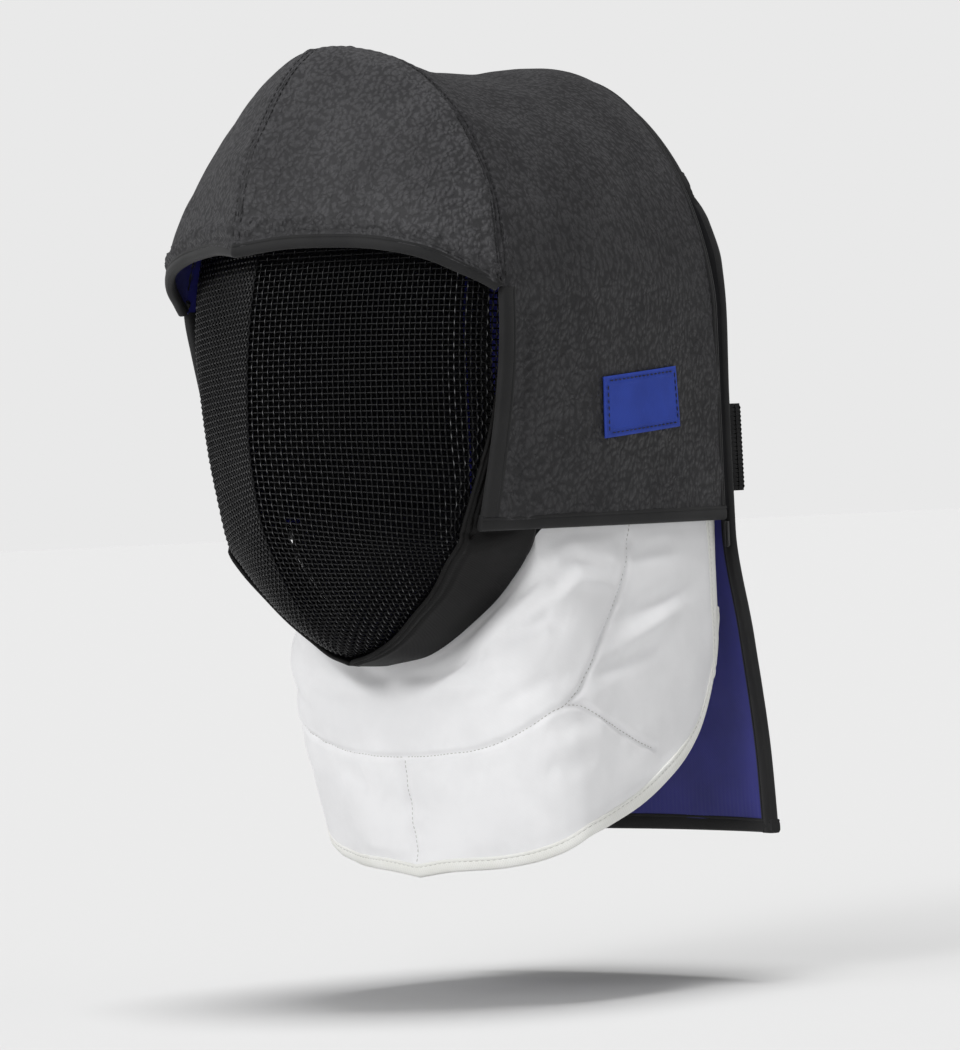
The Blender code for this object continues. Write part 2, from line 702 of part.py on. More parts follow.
def make_bib(parts, looks):
    grid = []
    strip = []
    for share in shares(BIB_TURNS):
        length_share = bib_margins(share)[1]
        turn = share * (1 - length_share)
        height_share = bib_margins(turn)[0]
        inner_turn = share * (1 - length_share - BOUND_GAP / BIB_DEPTH)
        stop = 1 - height_share * (1 + BOUND_GAP / BIB_BINDING)
        grid.append([bib_point(inner_turn, way) for way in bib_ways(inner_turn, stop)])
        strip.append([offset(bib_point, turn, 1 - height_share, BINDING_PROUD),
                      offset(bib_point, share, 1.0, BINDING_PROUD)])
    for way in reversed(bib_ways(turn, 1 - height_share)[:-1]):
        outer_way = way / (1 - height_share)
        strip.append([offset(bib_point, turn, way, BINDING_PROUD),
                      offset(bib_point, 1.0, outer_way, BINDING_PROUD)])
    onto_plane(grid[0] + strip[0])
    wall("bib", grid, BIB, looks["cloth"], parts, mirrored=True)
    wall("bib_binding", strip, BIB + 2 * BINDING_PROUD, looks["trim"], parts, mirrored=True)


def flap_grid(distance):
    side_share, low_share = flap_margins()
    down = 1 - low_share - BOUND_GAP / FLAP_LENGTH
    grid = []
    for column in shares(FLAP_ACROSS):
        line = []
        for row in shares(FLAP_DOWN):
            corner_gap = BOUND_GAP * lerp(4.0, 1.0, ease(row / 0.2))
            across = 1 - side_share - corner_gap / FLAP_HALF_WIDTH
            line.append(offset(flap_point, column * across, row * down, distance))
        grid.append(line)
    onto_plane(grid[0])
    return grid


def make_flap(parts, looks):
    side_share, low_share = flap_margins()
    wall("flap_lining", flap_grid(LINING), LINING, looks["lining"], parts, mirrored=True)
    wall("back_flap", flap_grid(WALL), LEATHER, looks["leather"], parts, mirrored=True)
    out = WALL + BINDING_PROUD
    strip = []
    for column in shares(FLAP_ACROSS):
        strip.append([offset(flap_point, column * (1 - side_share), 1 - low_share, out),
                      offset(flap_point, column, 1.0, out)])
    for row in reversed(shares(FLAP_DOWN)[:-1]):
        strip.append([offset(flap_point, 1 - side_share, row * (1 - low_share), out),
                      offset(flap_point, 1.0, row, out)])
    onto_plane(strip[0])
    wall("flap_binding", strip, out + BINDING_PROUD, looks["binding"], parts, mirrored=True)


def strap_grid(distance):
    """Rows of a band of webbing that lies level on the back of the flap."""
    centre = CROWN_Z - STRAP_BELOW_CROWN
    grid = []
    for across in shares(8, 0.0, STRAP_SHARE):
        top = flap_point(across, 0.0)[2]
        length = top - flap_point(across, 1.0)[2]
        line = []
        for height in (0.5 * STRAP_HEIGHT, -0.5 * STRAP_HEIGHT):
            line.append(offset(flap_point, across, (top - centre - height) / length, distance))
        grid.append(line)
    onto_plane(grid[0])
    return grid


def make_strap(parts, looks):
    first = WALL + BINDING_PROUD + GAP + STRAP
    wall("back_strap", strap_grid(first), STRAP, looks["webbing"], parts, mirrored=True)
    second = first + GAP + STRAP
    wall("strap_overlap", strap_grid(second), STRAP, looks["webbing"], parts, mirrored=True)


def make_label(parts, looks):
    """A patch that follows the side of the hood, turned a little from level."""
    centre_y = SEAM_Y + LABEL_BEHIND_SEAM
    centre_z = CROWN_Z - LABEL_BELOW_CROWN
    grid = []
    for across in shares(6, -0.5, 0.5):
        line = []
        for up in shares(3, -0.5, 0.5):
            run = across * LABEL_WIDTH
            rise = up * LABEL_HEIGHT
            y = centre_y + run * math.cos(LABEL_TILT) - rise * math.sin(LABEL_TILT)
            z = centre_z + run * math.sin(LABEL_TILT) + rise * math.cos(LABEL_TILT)
            front = SEAM_Y - HOOD_DEPTH * face["ahead"]((CROWN_Z - z) / HOOD_HEIGHT)
            along = (y - front) / (REAR_Y - front)
            line.append(offset(hood_point, along, arch_above_hem(along, z - HEM_Z), GAP + LABEL))
        grid.append(line)
    wall("label_patch", grid, LABEL, looks["label"], parts)


def make_tabs(parts, looks):
    """Cloth tabs that hang from the rear corners of the hem."""
    corner = hood_point(1.0, 1.0)
    for side, label in ((1, "left"), (-1, "right")):
        x = side * corner[0]
        z = HEM_Z - GAP - BINDING_PROUD - TAB_DROP / 2
        turned = (0.0, 0.0, side * TAB_TURN)
        bpy.ops.mesh.primitive_cube_add(size=1.0, location=(x, REAR_Y, z), rotation=turned)
        obj = bpy.context.object
        obj.name = "rear_tab_" + label
        obj.data.name = obj.name
        obj.scale = (TAB, TAB_WIDTH, TAB_DROP)
        bpy.ops.object.transform_apply(location=False, rotation=False, scale=True)
        edge = obj.modifiers.new("Edge", "BEVEL")
        edge.width = TAB / 4
        edge.segments = 1
        for old in list(obj.users_collection):
            old.objects.unlink(obj)
        parts.objects.link(obj)
        obj.data.materials.append(looks["binding"])


def build():
    clear_scene()
    parts = bpy.data.collections.new("fencing_mask")
    bpy.context.scene.collection.children.link(parts)
    looks = {
        "leather": material("leather", (0.045, 0.044, 0.047), 0.55),
        "lining": material("lining", (0.03, 0.035, 0.24), 0.75),
        "binding": material("binding", (0.02, 0.02, 0.021), 0.8),
        "canvas": material("canvas", (0.012, 0.011, 0.012), 0.75),
        "mesh": material("mesh", (0.02, 0.02, 0.02), 0.35, 0.9),
        "cloth": material("cloth", (0.87, 0.87, 0.88), 0.85),
        "trim": material("trim", (0.86, 0.86, 0.82), 0.85),
        "webbing": material("webbing", (0.015, 0.015, 0.016), 0.8),
        "label": material("label", (0.03, 0.06, 0.38), 0.7),
    }
    make_hood(parts, looks)
    make_cage(parts, looks)
    make_piping(parts, looks)
    make_bib(parts, looks)
    make_flap(parts, looks)
    make_strap(parts, looks)
    make_label(parts, looks)
    make_tabs(parts, looks)


build()
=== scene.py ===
# %% [markdown]
# # A coach's fencing mask
# The mask is a leather hood over a cage of woven wire, with a padded white bib at the throat
# and a leather flap behind the neck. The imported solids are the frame, and every piece below
# is dressed over them in the same place. The script starts by loading that frame.

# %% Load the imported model
import math

import bpy
import numpy as np
from mathutils import Matrix, Vector, noise
from mathutils.kdtree import KDTree


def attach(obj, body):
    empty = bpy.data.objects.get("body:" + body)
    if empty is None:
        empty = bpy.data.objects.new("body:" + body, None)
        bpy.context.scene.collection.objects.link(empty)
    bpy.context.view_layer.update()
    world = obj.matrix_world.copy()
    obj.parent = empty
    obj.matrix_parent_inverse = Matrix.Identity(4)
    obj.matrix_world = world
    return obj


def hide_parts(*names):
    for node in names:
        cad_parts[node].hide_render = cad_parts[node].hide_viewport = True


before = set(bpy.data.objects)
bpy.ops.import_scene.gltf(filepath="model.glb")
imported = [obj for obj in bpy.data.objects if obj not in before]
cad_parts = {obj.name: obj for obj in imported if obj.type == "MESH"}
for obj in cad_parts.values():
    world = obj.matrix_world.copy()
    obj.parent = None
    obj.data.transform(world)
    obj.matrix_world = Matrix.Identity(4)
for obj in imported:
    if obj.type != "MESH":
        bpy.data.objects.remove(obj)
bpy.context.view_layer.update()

SIDES = ((1, "left"), (-1, "right"))

# %% [markdown]
# ## Hands
# Blender's operators act on all that is selected. The frame's solids come in selected, so each
# piece is picked alone before an operator runs on it.


# %% Picking a piece
def leave_all():
    bpy.ops.object.select_all(action="DESELECT")


def pick(piece):
    leave_all()
    piece.select_set(True)
    bpy.context.view_layer.objects.active = piece


def use_modifier(piece, kind, **settings):
    """Adds a modifier with its settings and applies it at once."""
    pick(piece)
    modifier = piece.modifiers.new(kind.title(), kind)
    for name, value in settings.items():
        setattr(modifier, name, value)
    bpy.ops.object.modifier_apply(modifier=modifier.name)


# %% [markdown]
# ## Cloth and leather as laid sheets
# Every soft piece of the mask is a sheet. A grid primitive is the uncut sheet: it has the rows
# of faces and the UV map already. Its points are then laid onto the mask's own surface, which
# keeps the weave and the seams in line with the form. The UV map is scaled to metres.


# %% Laying a sheet
def lay(name, across, down, place, cut=(1.0, 1.0)):
    """A grid laid onto a surface. place takes shares across and down and gives points."""
    leave_all()
    bpy.ops.mesh.primitive_grid_add(x_subdivisions=across, y_subdivisions=down, size=1.0)
    piece = bpy.context.object
    piece.name = name
    piece.data.name = name
    flat = np.empty(3 * len(piece.data.vertices))
    piece.data.vertices.foreach_get("co", flat)
    flat = np.clip(flat.reshape(-1, 3) + 0.5, 0.0, 1.0)
    piece.data.vertices.foreach_set("co", place(flat[:, 0], flat[:, 1]).ravel())
    piece.data.update()
    threads = piece.data.uv_layers[0].data
    corners = np.empty(2 * len(threads))
    threads.foreach_get("uv", corners)
    threads.foreach_set("uv", (corners.reshape(-1, 2) * cut).ravel())
    return piece


def face_out(piece, inside):
    """Turns the faces so that they look away from a point inside."""
    centre = Vector(inside)
    total = sum(face.area * face.normal.dot(face.center - centre) for face in piece.data.polygons)
    if total < 0:
        pick(piece)
        bpy.ops.object.mode_set(mode="EDIT")
        bpy.ops.mesh.select_all(action="SELECT")
        bpy.ops.mesh.flip_normals()
        bpy.ops.object.mode_set(mode="OBJECT")


def thicken(piece, wall, inside):
    """Gives a sheet its thickness, grown inward."""
    face_out(piece, inside)
    use_modifier(piece, "SOLIDIFY", thickness=wall, offset=-1.0, use_quality_normals=True)
    smooth(piece)


def smooth(piece, angle=50):
    """Shades a piece smooth, but for edges sharper than the angle in degrees."""
    pick(piece)
    bpy.ops.object.shade_smooth_by_angle(angle=math.radians(angle))


def close_tube(piece):
    """Joins the first and last rows of a rolled sheet, closes its ends and turns it out."""
    pick(piece)
    bpy.ops.object.mode_set(mode="EDIT")
    bpy.ops.mesh.select_all(action="SELECT")
    bpy.ops.mesh.remove_doubles(threshold=0.000002)
    bpy.ops.mesh.fill_holes(sides=0)
    bpy.ops.mesh.select_all(action="SELECT")
    bpy.ops.mesh.normals_make_consistent(inside=False)
    bpy.ops.object.mode_set(mode="OBJECT")
    smooth(piece)


def dress(piece, slot, look, *nodes):
    """Puts a piece in the place of the frame's solids, with its finish."""
    piece.data.materials.clear()
    piece.data.materials.append(look)
    if nodes:
        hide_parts(*nodes)
    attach(piece, "root")
    print(piece.name, len(piece.data.polygons), "faces")
    return piece


# %% [markdown]
# ## The mask's surfaces
# The hood, the brim, the cage, the bib and the flap are smooth surfaces through short tables
# of sections, the same tables as the solids have. A share along and a share across give a
# point, and whole grids are worked out at once.

# %% Sizes and smooth curves
SEAM_Y = -0.074             # top of the arc seam between the front panels and the crown
HOOD_DEPTH = 0.166
HOOD_HALF_WIDTH = 0.122
HOOD_HEIGHT = 0.2515
CROWN_Z = 0.0165
BRIM_PROUD = 0.0045
LEATHER = 0.0024
LINING = 0.0012
GAP = 0.0003                # left between pieces that lie against each other
BINDING_PROUD = 0.0006      # how far a binding stands above the leather
PAD_WALL = 0.0009
GUSSET_WALL = 0.0008
LABEL_WALL = 0.0010
TAB_WALL = 0.0008
BRIM_BINDING = 0.0065
FACE_BINDING = 0.0080
HEM_BINDING = 0.0075
REAR_BINDING = 0.0040
WALL = LEATHER + GAP + LINING
RIM_BACK = 0.026            # rim of the cage behind the top of the arc seam
RIM_Y = SEAM_Y + RIM_BACK
CAGE_REACH = 0.1104
CROWN_TO_CHIN = 0.316
CHIN_Z = CROWN_Z - CROWN_TO_CHIN
HEM_Z = CROWN_Z - HOOD_HEIGHT
REAR_Y = SEAM_Y + HOOD_DEPTH
BRIM_REACH = SEAM_Y - (RIM_Y - CAGE_REACH - BRIM_PROUD)
HEAD = np.array((0.0, 0.0, (CROWN_Z + HEM_Z) / 2))
STEP = 2e-4                 # step for a surface's slope


def smooth_through(x, y):
    """Smooth curve through points, without overshoot, for whole arrays of values."""
    step = np.diff(x)
    slope = np.diff(y) / step
    tangent = np.zeros_like(y)
    tangent[0], tangent[-1] = slope[0], slope[-1]
    for i in range(1, len(y) - 1):
        if slope[i - 1] * slope[i] > 0:
            before = 2 * step[i] + step[i - 1]
            after = step[i] + 2 * step[i - 1]
            tangent[i] = (before + after) / (before / slope[i - 1] + after / slope[i])

    def at(value):
        value = np.clip(value, x[0], x[-1])
        i = np.clip(np.searchsorted(x, value) - 1, 0, len(x) - 2)
        s = (value - x[i]) / step[i]
        start = (2 * s ** 3 - 3 * s ** 2 + 1) * y[i]
        start = start + (s ** 3 - 2 * s ** 2 + s) * step[i] * tangent[i]
        end = (3 * s ** 2 - 2 * s ** 3) * y[i + 1]
        end = end + (s ** 3 - s ** 2) * step[i] * tangent[i + 1]
        return start + end

    return at


def curves(names, rows):
    """Smooth curves through a table's columns by its first column."""
    table = np.array(rows, float)
    return {name: smooth_through(table[:, 0], table[:, i + 1])
            for i, name in enumerate(names.split())}


def lerp(start, end, share):
    """Value at a share of the way from start to end."""
    return start + (end - start) * share


def ease(value):
    """Smooth step from 0 to 1."""
    value = np.clip(value, 0.0, 1.0)
    return value * value * (3 - 2 * value)


def arrays(*values):
    """The values as arrays of one shape."""
    return np.broadcast_arrays(*[np.asarray(value, float) for value in values])


def apart(first, second):
    """Distances between two sets of points."""
    return np.linalg.norm(first - second, axis=-1)


def run_along(path):
    """Distance run along a path at each of its points."""
    return np.concatenate(([0.0], np.cumsum(apart(path[1:], path[:-1]))))


# %% The hood and its front edge
hood = curves("drop level width hem_width roundness", (
    (0.00, 0.000, 0.511, 1.000, 0.770, 1.83),
    (0.08, 0.018, 0.511, 0.996, 0.810, 1.86),
    (0.19, 0.038, 0.512, 0.984, 0.842, 1.90),
    (0.32, 0.045, 0.515, 0.963, 0.858, 1.92),
    (0.46, 0.045, 0.520, 0.934, 0.862, 1.92),
    (0.62, 0.034, 0.530, 0.889, 0.852, 1.86),
    (0.75, 0.028, 0.542, 0.848, 0.838, 1.80),
    (0.88, 0.032, 0.552, 0.807, 0.808, 1.74),
    (1.00, 0.052, 0.562, 0.775, 0.772, 1.69),
))
face = curves("ahead", (
    (0.00, 0.000), (0.25, 0.048), (0.52, 0.104), (0.60, 0.095), (0.68, 0.087), (0.80, 0.083),
    (1.00, 0.083),
))


def hood_front(z):
    """Where the crown starts, at a height."""
    return SEAM_Y - HOOD_DEPTH * face["ahead"]((CROWN_Z - z) / HOOD_HEIGHT)


def hood_surface(along, side):
    """Outer face of the crown. side is 0 on top, 1 at the left hem and -1 at the right."""
    along, side = arrays(along, side)
    arch = np.abs(side)
    top = CROWN_Z - HOOD_HEIGHT * hood["drop"](along)
    level = CROWN_Z - HOOD_HEIGHT * hood["level"](along)
    width = HOOD_HALF_WIDTH * hood["width"](along)
    angle = math.pi * np.minimum(arch, 0.5)
    power = 2 / hood["roundness"](along)
    down = np.clip(2 * arch - 1, 0.0, 1.0)
    x_low = lerp(width, HOOD_HALF_WIDTH * hood["hem_width"](along), down ** 1.4)
    x = np.where(arch < 0.5, width * np.sin(angle) ** power, x_low)
    over = lerp(level, top, np.maximum(np.cos(angle), 0.0) ** power)
    z = np.where(arch < 0.5, over, lerp(level, HEM_Z, down))
    y = lerp(hood_front(z), REAR_Y, along)
    return np.stack((np.sign(side) * x, y, z), -1)


def outward(surface, first, second, low=0.0, high=1.0):
    """Unit normals of a surface, away from the head."""
    first, second = arrays(first, second)
    after, before = np.minimum(first + STEP, high), np.maximum(first - STEP, low)
    one = surface(after, second) - surface(before, second)
    two = surface(first, second + STEP) - surface(first, second - STEP)
    normal = np.cross(one, two)
    normal /= np.maximum(np.linalg.norm(normal, axis=-1, keepdims=True), 1e-12)
    turned = np.sum(normal * (surface(first, second) - HEAD)) < 0
    return -normal if turned else normal


def arch_above_hem(along, height):
    """Share round the arch that lies a height above the hem."""
    level = CROWN_Z - HOOD_HEIGHT * hood["level"](along)
    return 1 - 0.5 * height / (level - HEM_Z)


# %% The brim and its panels
brim = curves("across forward down", (
    (0.00, 0.000, 1.000, 0.424),
    (0.20, 0.246, 0.860, 0.413),
    (0.40, 0.492, 0.730, 0.418),
    (0.58, 0.721, 0.612, 0.437),
    (0.72, 0.838, 0.512, 0.459),
    (0.84, 0.901, 0.422, 0.481),
    (0.93, 0.950, 0.322, 0.502),
    (1.00, 0.988, 0.240, 0.522),
))
panel = curves("forward fall", (
    (0.00, 0.000, 0.000), (0.10, 0.130, -0.012), (0.20, 0.275, -0.004), (0.30, 0.425, 0.062),
    (0.40, 0.572, 0.180), (0.53, 0.722, 0.356), (0.65, 0.833, 0.500), (0.76, 0.899, 0.648),
    (0.88, 0.951, 0.796), (1.00, 1.000, 1.000),
))
PANEL_FLAT = 0.12           # how much flatter a panel is halfway round, as a share


def brim_surface(turn, way):
    """Outer face of a front panel. turn is 0 at the centre seam, way is 1 at the brim."""
    turn, way = arrays(turn, way)
    side = np.where(turn < 0, -1.0, 1.0)
    turn = np.abs(turn)
    seam = hood_surface(0.0, 0.5 * turn)
    forward = panel["forward"](way)
    fall = panel["fall"](way)
    edge_x = HOOD_HALF_WIDTH * brim["across"](turn)
    edge_y = SEAM_Y - BRIM_REACH * brim["forward"](turn)
    edge_z = CROWN_Z - HOOD_HEIGHT * brim["down"](turn)
    flatter = PANEL_FLAT * np.sin(math.pi * np.minimum(turn, 1.0))
    forward = forward - flatter * np.sin(math.pi * forward)
    x = lerp(seam[..., 0], edge_x, lerp(forward, fall, 0.5))
    y = lerp(seam[..., 1], edge_y, forward)
    return np.stack((side * x, y, lerp(seam[..., 2], edge_z, fall)), -1)


# %% The cage
cage = curves("ridge_forward ridge_height rim_forward", (
    (0.00, 0.408, 0.004, 0.145), (0.05, 0.498, 0.023, 0.082), (0.10, 0.598, 0.048, 0.045),
    (0.16, 0.697, 0.081, 0.027), (0.22, 0.783, 0.121, 0.009), (0.29, 0.874, 0.182, 0.005),
    (0.36, 0.938, 0.238, 0.003), (0.44, 0.978, 0.309, 0.000), (0.53, 1.000, 0.394, 0.000),
    (0.62, 0.992, 0.487, 0.000), (0.70, 0.960, 0.586, 0.000), (0.78, 0.897, 0.688, 0.000),
    (0.85, 0.797, 0.780, 0.000), (0.91, 0.643, 0.863, 0.000), (0.96, 0.453, 0.929, 0.000),
    (1.00, 0.217, 0.972, 0.000),
))
# Rim of the cage: below the hood as shares of its width and height, above it under the arch.
LOW_RIM = ((0.00, 0.000, 0.000), (0.05, 0.206, 0.011), (0.10, 0.412, 0.043), (0.16, 0.598, 0.081),
           (0.22, 0.763, 0.122), (0.29, 0.907, 0.167), (0.36, 0.985, 0.203))
HIGH_RIM = ((0.44, 0.919), (0.53, 0.797), (0.62, 0.671), (0.70, 0.549), (0.78, 0.430),
            (0.85, 0.345), (0.91, 0.255), (0.96, 0.130), (1.00, 0.000))
plan = curves("across back", (
    (0.000, 0.000, 0.000), (0.257, 0.360, 0.182), (0.482, 0.676, 0.343), (0.592, 0.822, 0.430),
    (0.660, 0.907, 0.490), (0.714, 0.957, 0.560), (0.770, 0.985, 0.642), (0.839, 1.000, 0.745),
    (1.000, 1.000, 1.000),
))
band = curves("start", (
    (0.00, 0.10), (0.05, 0.42), (0.10, 0.57), (0.16, 0.62), (0.22, 0.66), (0.29, 0.68),
    (0.36, 0.71), (0.44, 0.75), (0.53, 0.79), (0.62, 0.80), (0.78, 0.79), (1.00, 0.79),
))
BAND = 0.0018
BAND_GAP = 0.0012
CAGE_IN = 1.14 * (WALL + BINDING_PROUD + BAND + BAND_GAP + GAP)


def make_rim():
    """Places of the cage's rim by turn: under the hood's wall where the hood covers it."""
    along = RIM_BACK / HOOD_DEPTH

    def under(arch):
        normal = outward(hood_surface, along, arch)
        return hood_surface(along, arch) - CAGE_IN * normal

    at_hem = under(1.0)
    top = under(0.0)[2]
    rows = [(turn, at_hem[0] * x, lerp(CHIN_Z, top, z)) for turn, x, z in LOW_RIM]
    for turn, arch in HIGH_RIM:
        place = under(arch)
        rows.append((turn, place[0] if arch else 0.0, place[2]))
    return curves("x z", rows), top


rim, CAGE_TOP = make_rim()


def hood_half_width(y, z):
    """Half the hood's width at a place, to keep the cage inside it."""
    front = hood_front(z)
    along = np.clip((y - front) / (REAR_Y - front), 0.0, 1.0)
    level = CROWN_Z - HOOD_HEIGHT * hood["level"](along)
    down = np.clip((level - z) / (level - HEM_Z), 0.0, 1.0)
    width = lerp(hood["width"](along), hood["hem_width"](along), down ** 1.4)
    return HOOD_HALF_WIDTH * width + 0.20 * np.maximum(np.maximum(z - level, HEM_Z - z), 0.0)


def cage_surface(turn, way):
    """Outer face of the mesh. turn is 0 at the chin, way is 0 on the ridge and below 0 right."""
    turn, way = arrays(turn, way)
    side = np.where(way < 0, -1.0, 1.0)
    way = np.abs(way)
    crease = ease(turn / 0.5)
    quarter = 0.5 * math.pi * way
    across = lerp(np.sin(quarter), plan["across"](way), crease)
    back = lerp(1 - np.cos(quarter), plan["back"](way), crease)
    y = RIM_Y - CAGE_REACH * lerp(cage["ridge_forward"](turn), cage["rim_forward"](turn), back)
    z = lerp(lerp(CHIN_Z, CAGE_TOP, cage["ridge_height"](turn)), rim["z"](turn), across)
    x = np.minimum(rim["x"](turn) * across, hood_half_width(y, z) - CAGE_IN)
    return np.stack((side * x, y, z), -1)


# %% The bib
bib = curves("across back drop draw rim", (
    (0.000, 0.000, 0.000, 1.000, 0.45, 0.00), (0.118, 0.269, 0.002, 0.982, 0.52, 0.07),
    (0.219, 0.500, 0.010, 0.976, 0.80, 0.14), (0.313, 0.712, 0.036, 0.959, 1.00, 0.22),
    (0.376, 0.846, 0.072, 0.938, 1.00, 0.29), (0.428, 0.933, 0.128, 0.914, 0.85, 0.36),
    (0.482, 0.981, 0.207, 0.888, 0.55, 0.36), (0.558, 1.000, 0.325, 0.860, 0.30, 0.36),
    (0.650, 1.000, 0.469, 0.820, 0.12, 0.36), (0.764, 0.981, 0.646, 0.745, 0.00, 0.36),
    (0.879, 0.933, 0.823, 0.625, 0.00, 0.36), (0.959, 0.880, 0.941, 0.460, 0.00, 0.36),
    (1.000, 0.846, 1.000, 0.310, 0.00, 0.36),
))
BIB = 0.0050
BIB_DROP = 0.1145
BIB_BINDING = 0.0075
BIB_FORWARD = 0.0155        # front of the bib ahead of the rim
BIB_REAR_SETBACK = 0.0030   # rear edge of the bib ahead of the hood's rear edge
BIB_TUCK = 0.0240           # how far the lower edge draws in to the throat
BIB_INSIDE = 0.0090         # how far the bib reaches up inside the hem
BIB_LIP = 0.0020            # how far the bib hangs straight before it spreads
BIB_SPREAD = 0.0200         # height over which it spreads to its full width
BIB_FRONT = 0.428           # turn at which the bib leaves the rim for the hem
BIB_FRONT_Y = RIM_Y - BIB_FORWARD
BIB_DEPTH = REAR_Y - BIB_REAR_SETBACK - BIB_FRONT_Y
BIB_SIDE = 1.56 * BIB_DEPTH     # length round half the bib


def bib_surface(turn, way):
    """Outer face of the bib. turn is 0 at the centre front, way is 0 at the top edge."""
    turn, way = arrays(turn, way)
    side = np.where(turn < 0, -1.0, 1.0)
    turn = np.abs(turn)
    y = BIB_FRONT_Y + BIB_DEPTH * bib["back"](turn)
    place = bib["rim"](turn)
    rim_y = RIM_Y - CAGE_REACH * cage["rim_forward"](place) + BAND / 2
    rim_top = (rim["x"](place), rim_y, rim["z"](place) - GAP)
    along = np.clip((y - SEAM_Y) / HOOD_DEPTH, 0.0, 1.0)
    inside = WALL + 2 * BINDING_PROUD + 3 * GAP
    hem_top = (HOOD_HALF_WIDTH * hood["hem_width"](along) - inside, y, HEM_Z + BIB_INSIDE)
    leave = np.where(turn <= BIB_FRONT, 0.0, ease((turn - BIB_FRONT) / 0.08))
    top = [lerp(a, b, leave) for a, b in zip(rim_top, hem_top)]
    half_width = HOOD_HALF_WIDTH * hood["hem_width"](0.6)
    z = lerp(top[2], lerp(HEM_Z, CHIN_Z - BIB_DROP, bib["drop"](turn)), way)
    tuck = BIB_TUCK * np.maximum((CHIN_Z - z) / BIB_DROP, 0.0) ** 1.8
    x = half_width * bib["across"](turn) * (1 - 0.3 * tuck / half_width)
    y = y + tuck * bib["draw"](turn)
    hang = ease((np.minimum(top[2], HEM_Z) - BIB_LIP - z) / BIB_SPREAD)
    return np.stack((side * lerp(top[0], x, hang), lerp(top[1], y, hang), z), -1)


# %% The back flap
flap = curves("width rake bow", (
    (0.000, 0.660, 0.00, 0.00), (0.150, 0.680, 0.15, 0.15), (0.200, 0.770, 0.34, 0.40),
    (0.254, 0.835, 0.42, 0.60), (0.320, 0.850, 0.45, 0.75), (0.439, 0.842, 0.45, 0.90),
    (0.600, 0.845, 0.45, 1.00), (0.739, 0.915, 0.70, 1.00), (0.900, 0.980, 0.95, 1.00),
    (1.000, 1.000, 1.00, 0.95),
))
FLAP_LENGTH = 0.4040
FLAP_HALF_WIDTH = 0.110
FLAP_BINDING = 0.0085
FLAP_ARCH = 0.30            # how far round the rear arch the flap is sewn on
FLAP_BELOW = 0.0030         # the flap's top edge below the rear arch
FLAP_BOW = 0.0150           # how far the middle stands behind the side edges
FLAP_RAKE = 0.0085          # how far the lower edge hangs behind the rear arch


def flap_surface(across, down):
    """Inner face of the flap. across is 0 at the centre and 1 at the left edge."""
    across, down = arrays(across, down)
    side = np.where(across < 0, -1.0, 1.0)
    across = np.abs(across)
    arch = hood_surface(1.0, FLAP_ARCH * across)
    peak = hood_surface(1.0, 0.0)[2]
    z = lerp(arch[..., 2] - FLAP_BELOW, peak - FLAP_LENGTH, down)
    depth = (peak - z) / FLAP_LENGTH
    edge = FLAP_HALF_WIDTH * flap["width"](depth)
    x = lerp(arch[..., 0], edge * across, ease(down / 0.03))
    bow = FLAP_BOW * flap["bow"](depth) * (1 - across ** 2)
    y = REAR_Y + GAP + BINDING_PROUD + FLAP_RAKE * flap["rake"](depth) + bow
    return np.stack((side * x, y, z), -1)


print("crown to chin, mm:", round(1000 * (CROWN_Z - CHIN_Z)))

# %% [markdown]
# ## Shader groups
# Effects that several finishes share are node groups: pebbled grain, a woven cloth, and
# uneven colour. They read the piece's own object coordinates or its UV map in metres, and
# put out only a height or a mask, so each finish sets its own colours and strengths.


# %% Building groups and finishes
class Board:
    """A node tree with short hands for adding and joining nodes."""

    def __init__(self, tree):
        self.tree = tree

    def add(self, kind, **settings):
        node = self.tree.nodes.new("ShaderNode" + kind)
        for name, value in settings.items():
            setattr(node, name, value)
        return node

    def join(self, out, into):
        self.tree.links.new(out, into)

    def maths(self, operation, first, second=None, clamp=False):
        node = self.add("Math", operation=operation, use_clamp=clamp)
        for socket, value in zip(node.inputs, (first, second)):
            if isinstance(value, (int, float)):
                socket.default_value = value
            elif value is not None:
                self.join(value, socket)
        return node.outputs[0]

    def spread(self, value, low, high, to_low=0.0, to_high=1.0):
        node = self.add("MapRange", interpolation_type="SMOOTHSTEP")
        self.join(value, node.inputs["Value"])
        ends = {"From Min": low, "From Max": high, "To Min": to_low, "To Max": to_high}
        for name, number in ends.items():
            node.inputs[name].default_value = number
        return node.outputs["Result"]

    def mix(self, factor, first, second):
        """A blend of two colours, whose sockets are the Mix node's numbers 6, 7 and 2."""
        node = self.add("Mix", data_type="RGBA")
        self.join(factor, node.inputs[0])
        for socket, value in zip((node.inputs[6], node.inputs[7]), (first, second)):
            if isinstance(value, tuple):
                socket.default_value = (*value, 1.0)
            else:
                self.join(value, socket)
        return node.outputs[2]


def new_group(name, inputs, outputs):
    """An empty shader group with named inputs and outputs."""
    tree = bpy.data.node_groups.new(name, "ShaderNodeTree")
    for label, kind, value in inputs:
        socket = tree.interface.new_socket(name=label, in_out="INPUT", socket_type=kind)
        if value is not None:
            socket.default_value = value
    for label in outputs:
        tree.interface.new_socket(name=label, in_out="OUTPUT", socket_type="NodeSocketFloat")
    given = tree.nodes.new("NodeGroupInput").outputs
    return Board(tree), given, tree.nodes.new("NodeGroupOutput").inputs


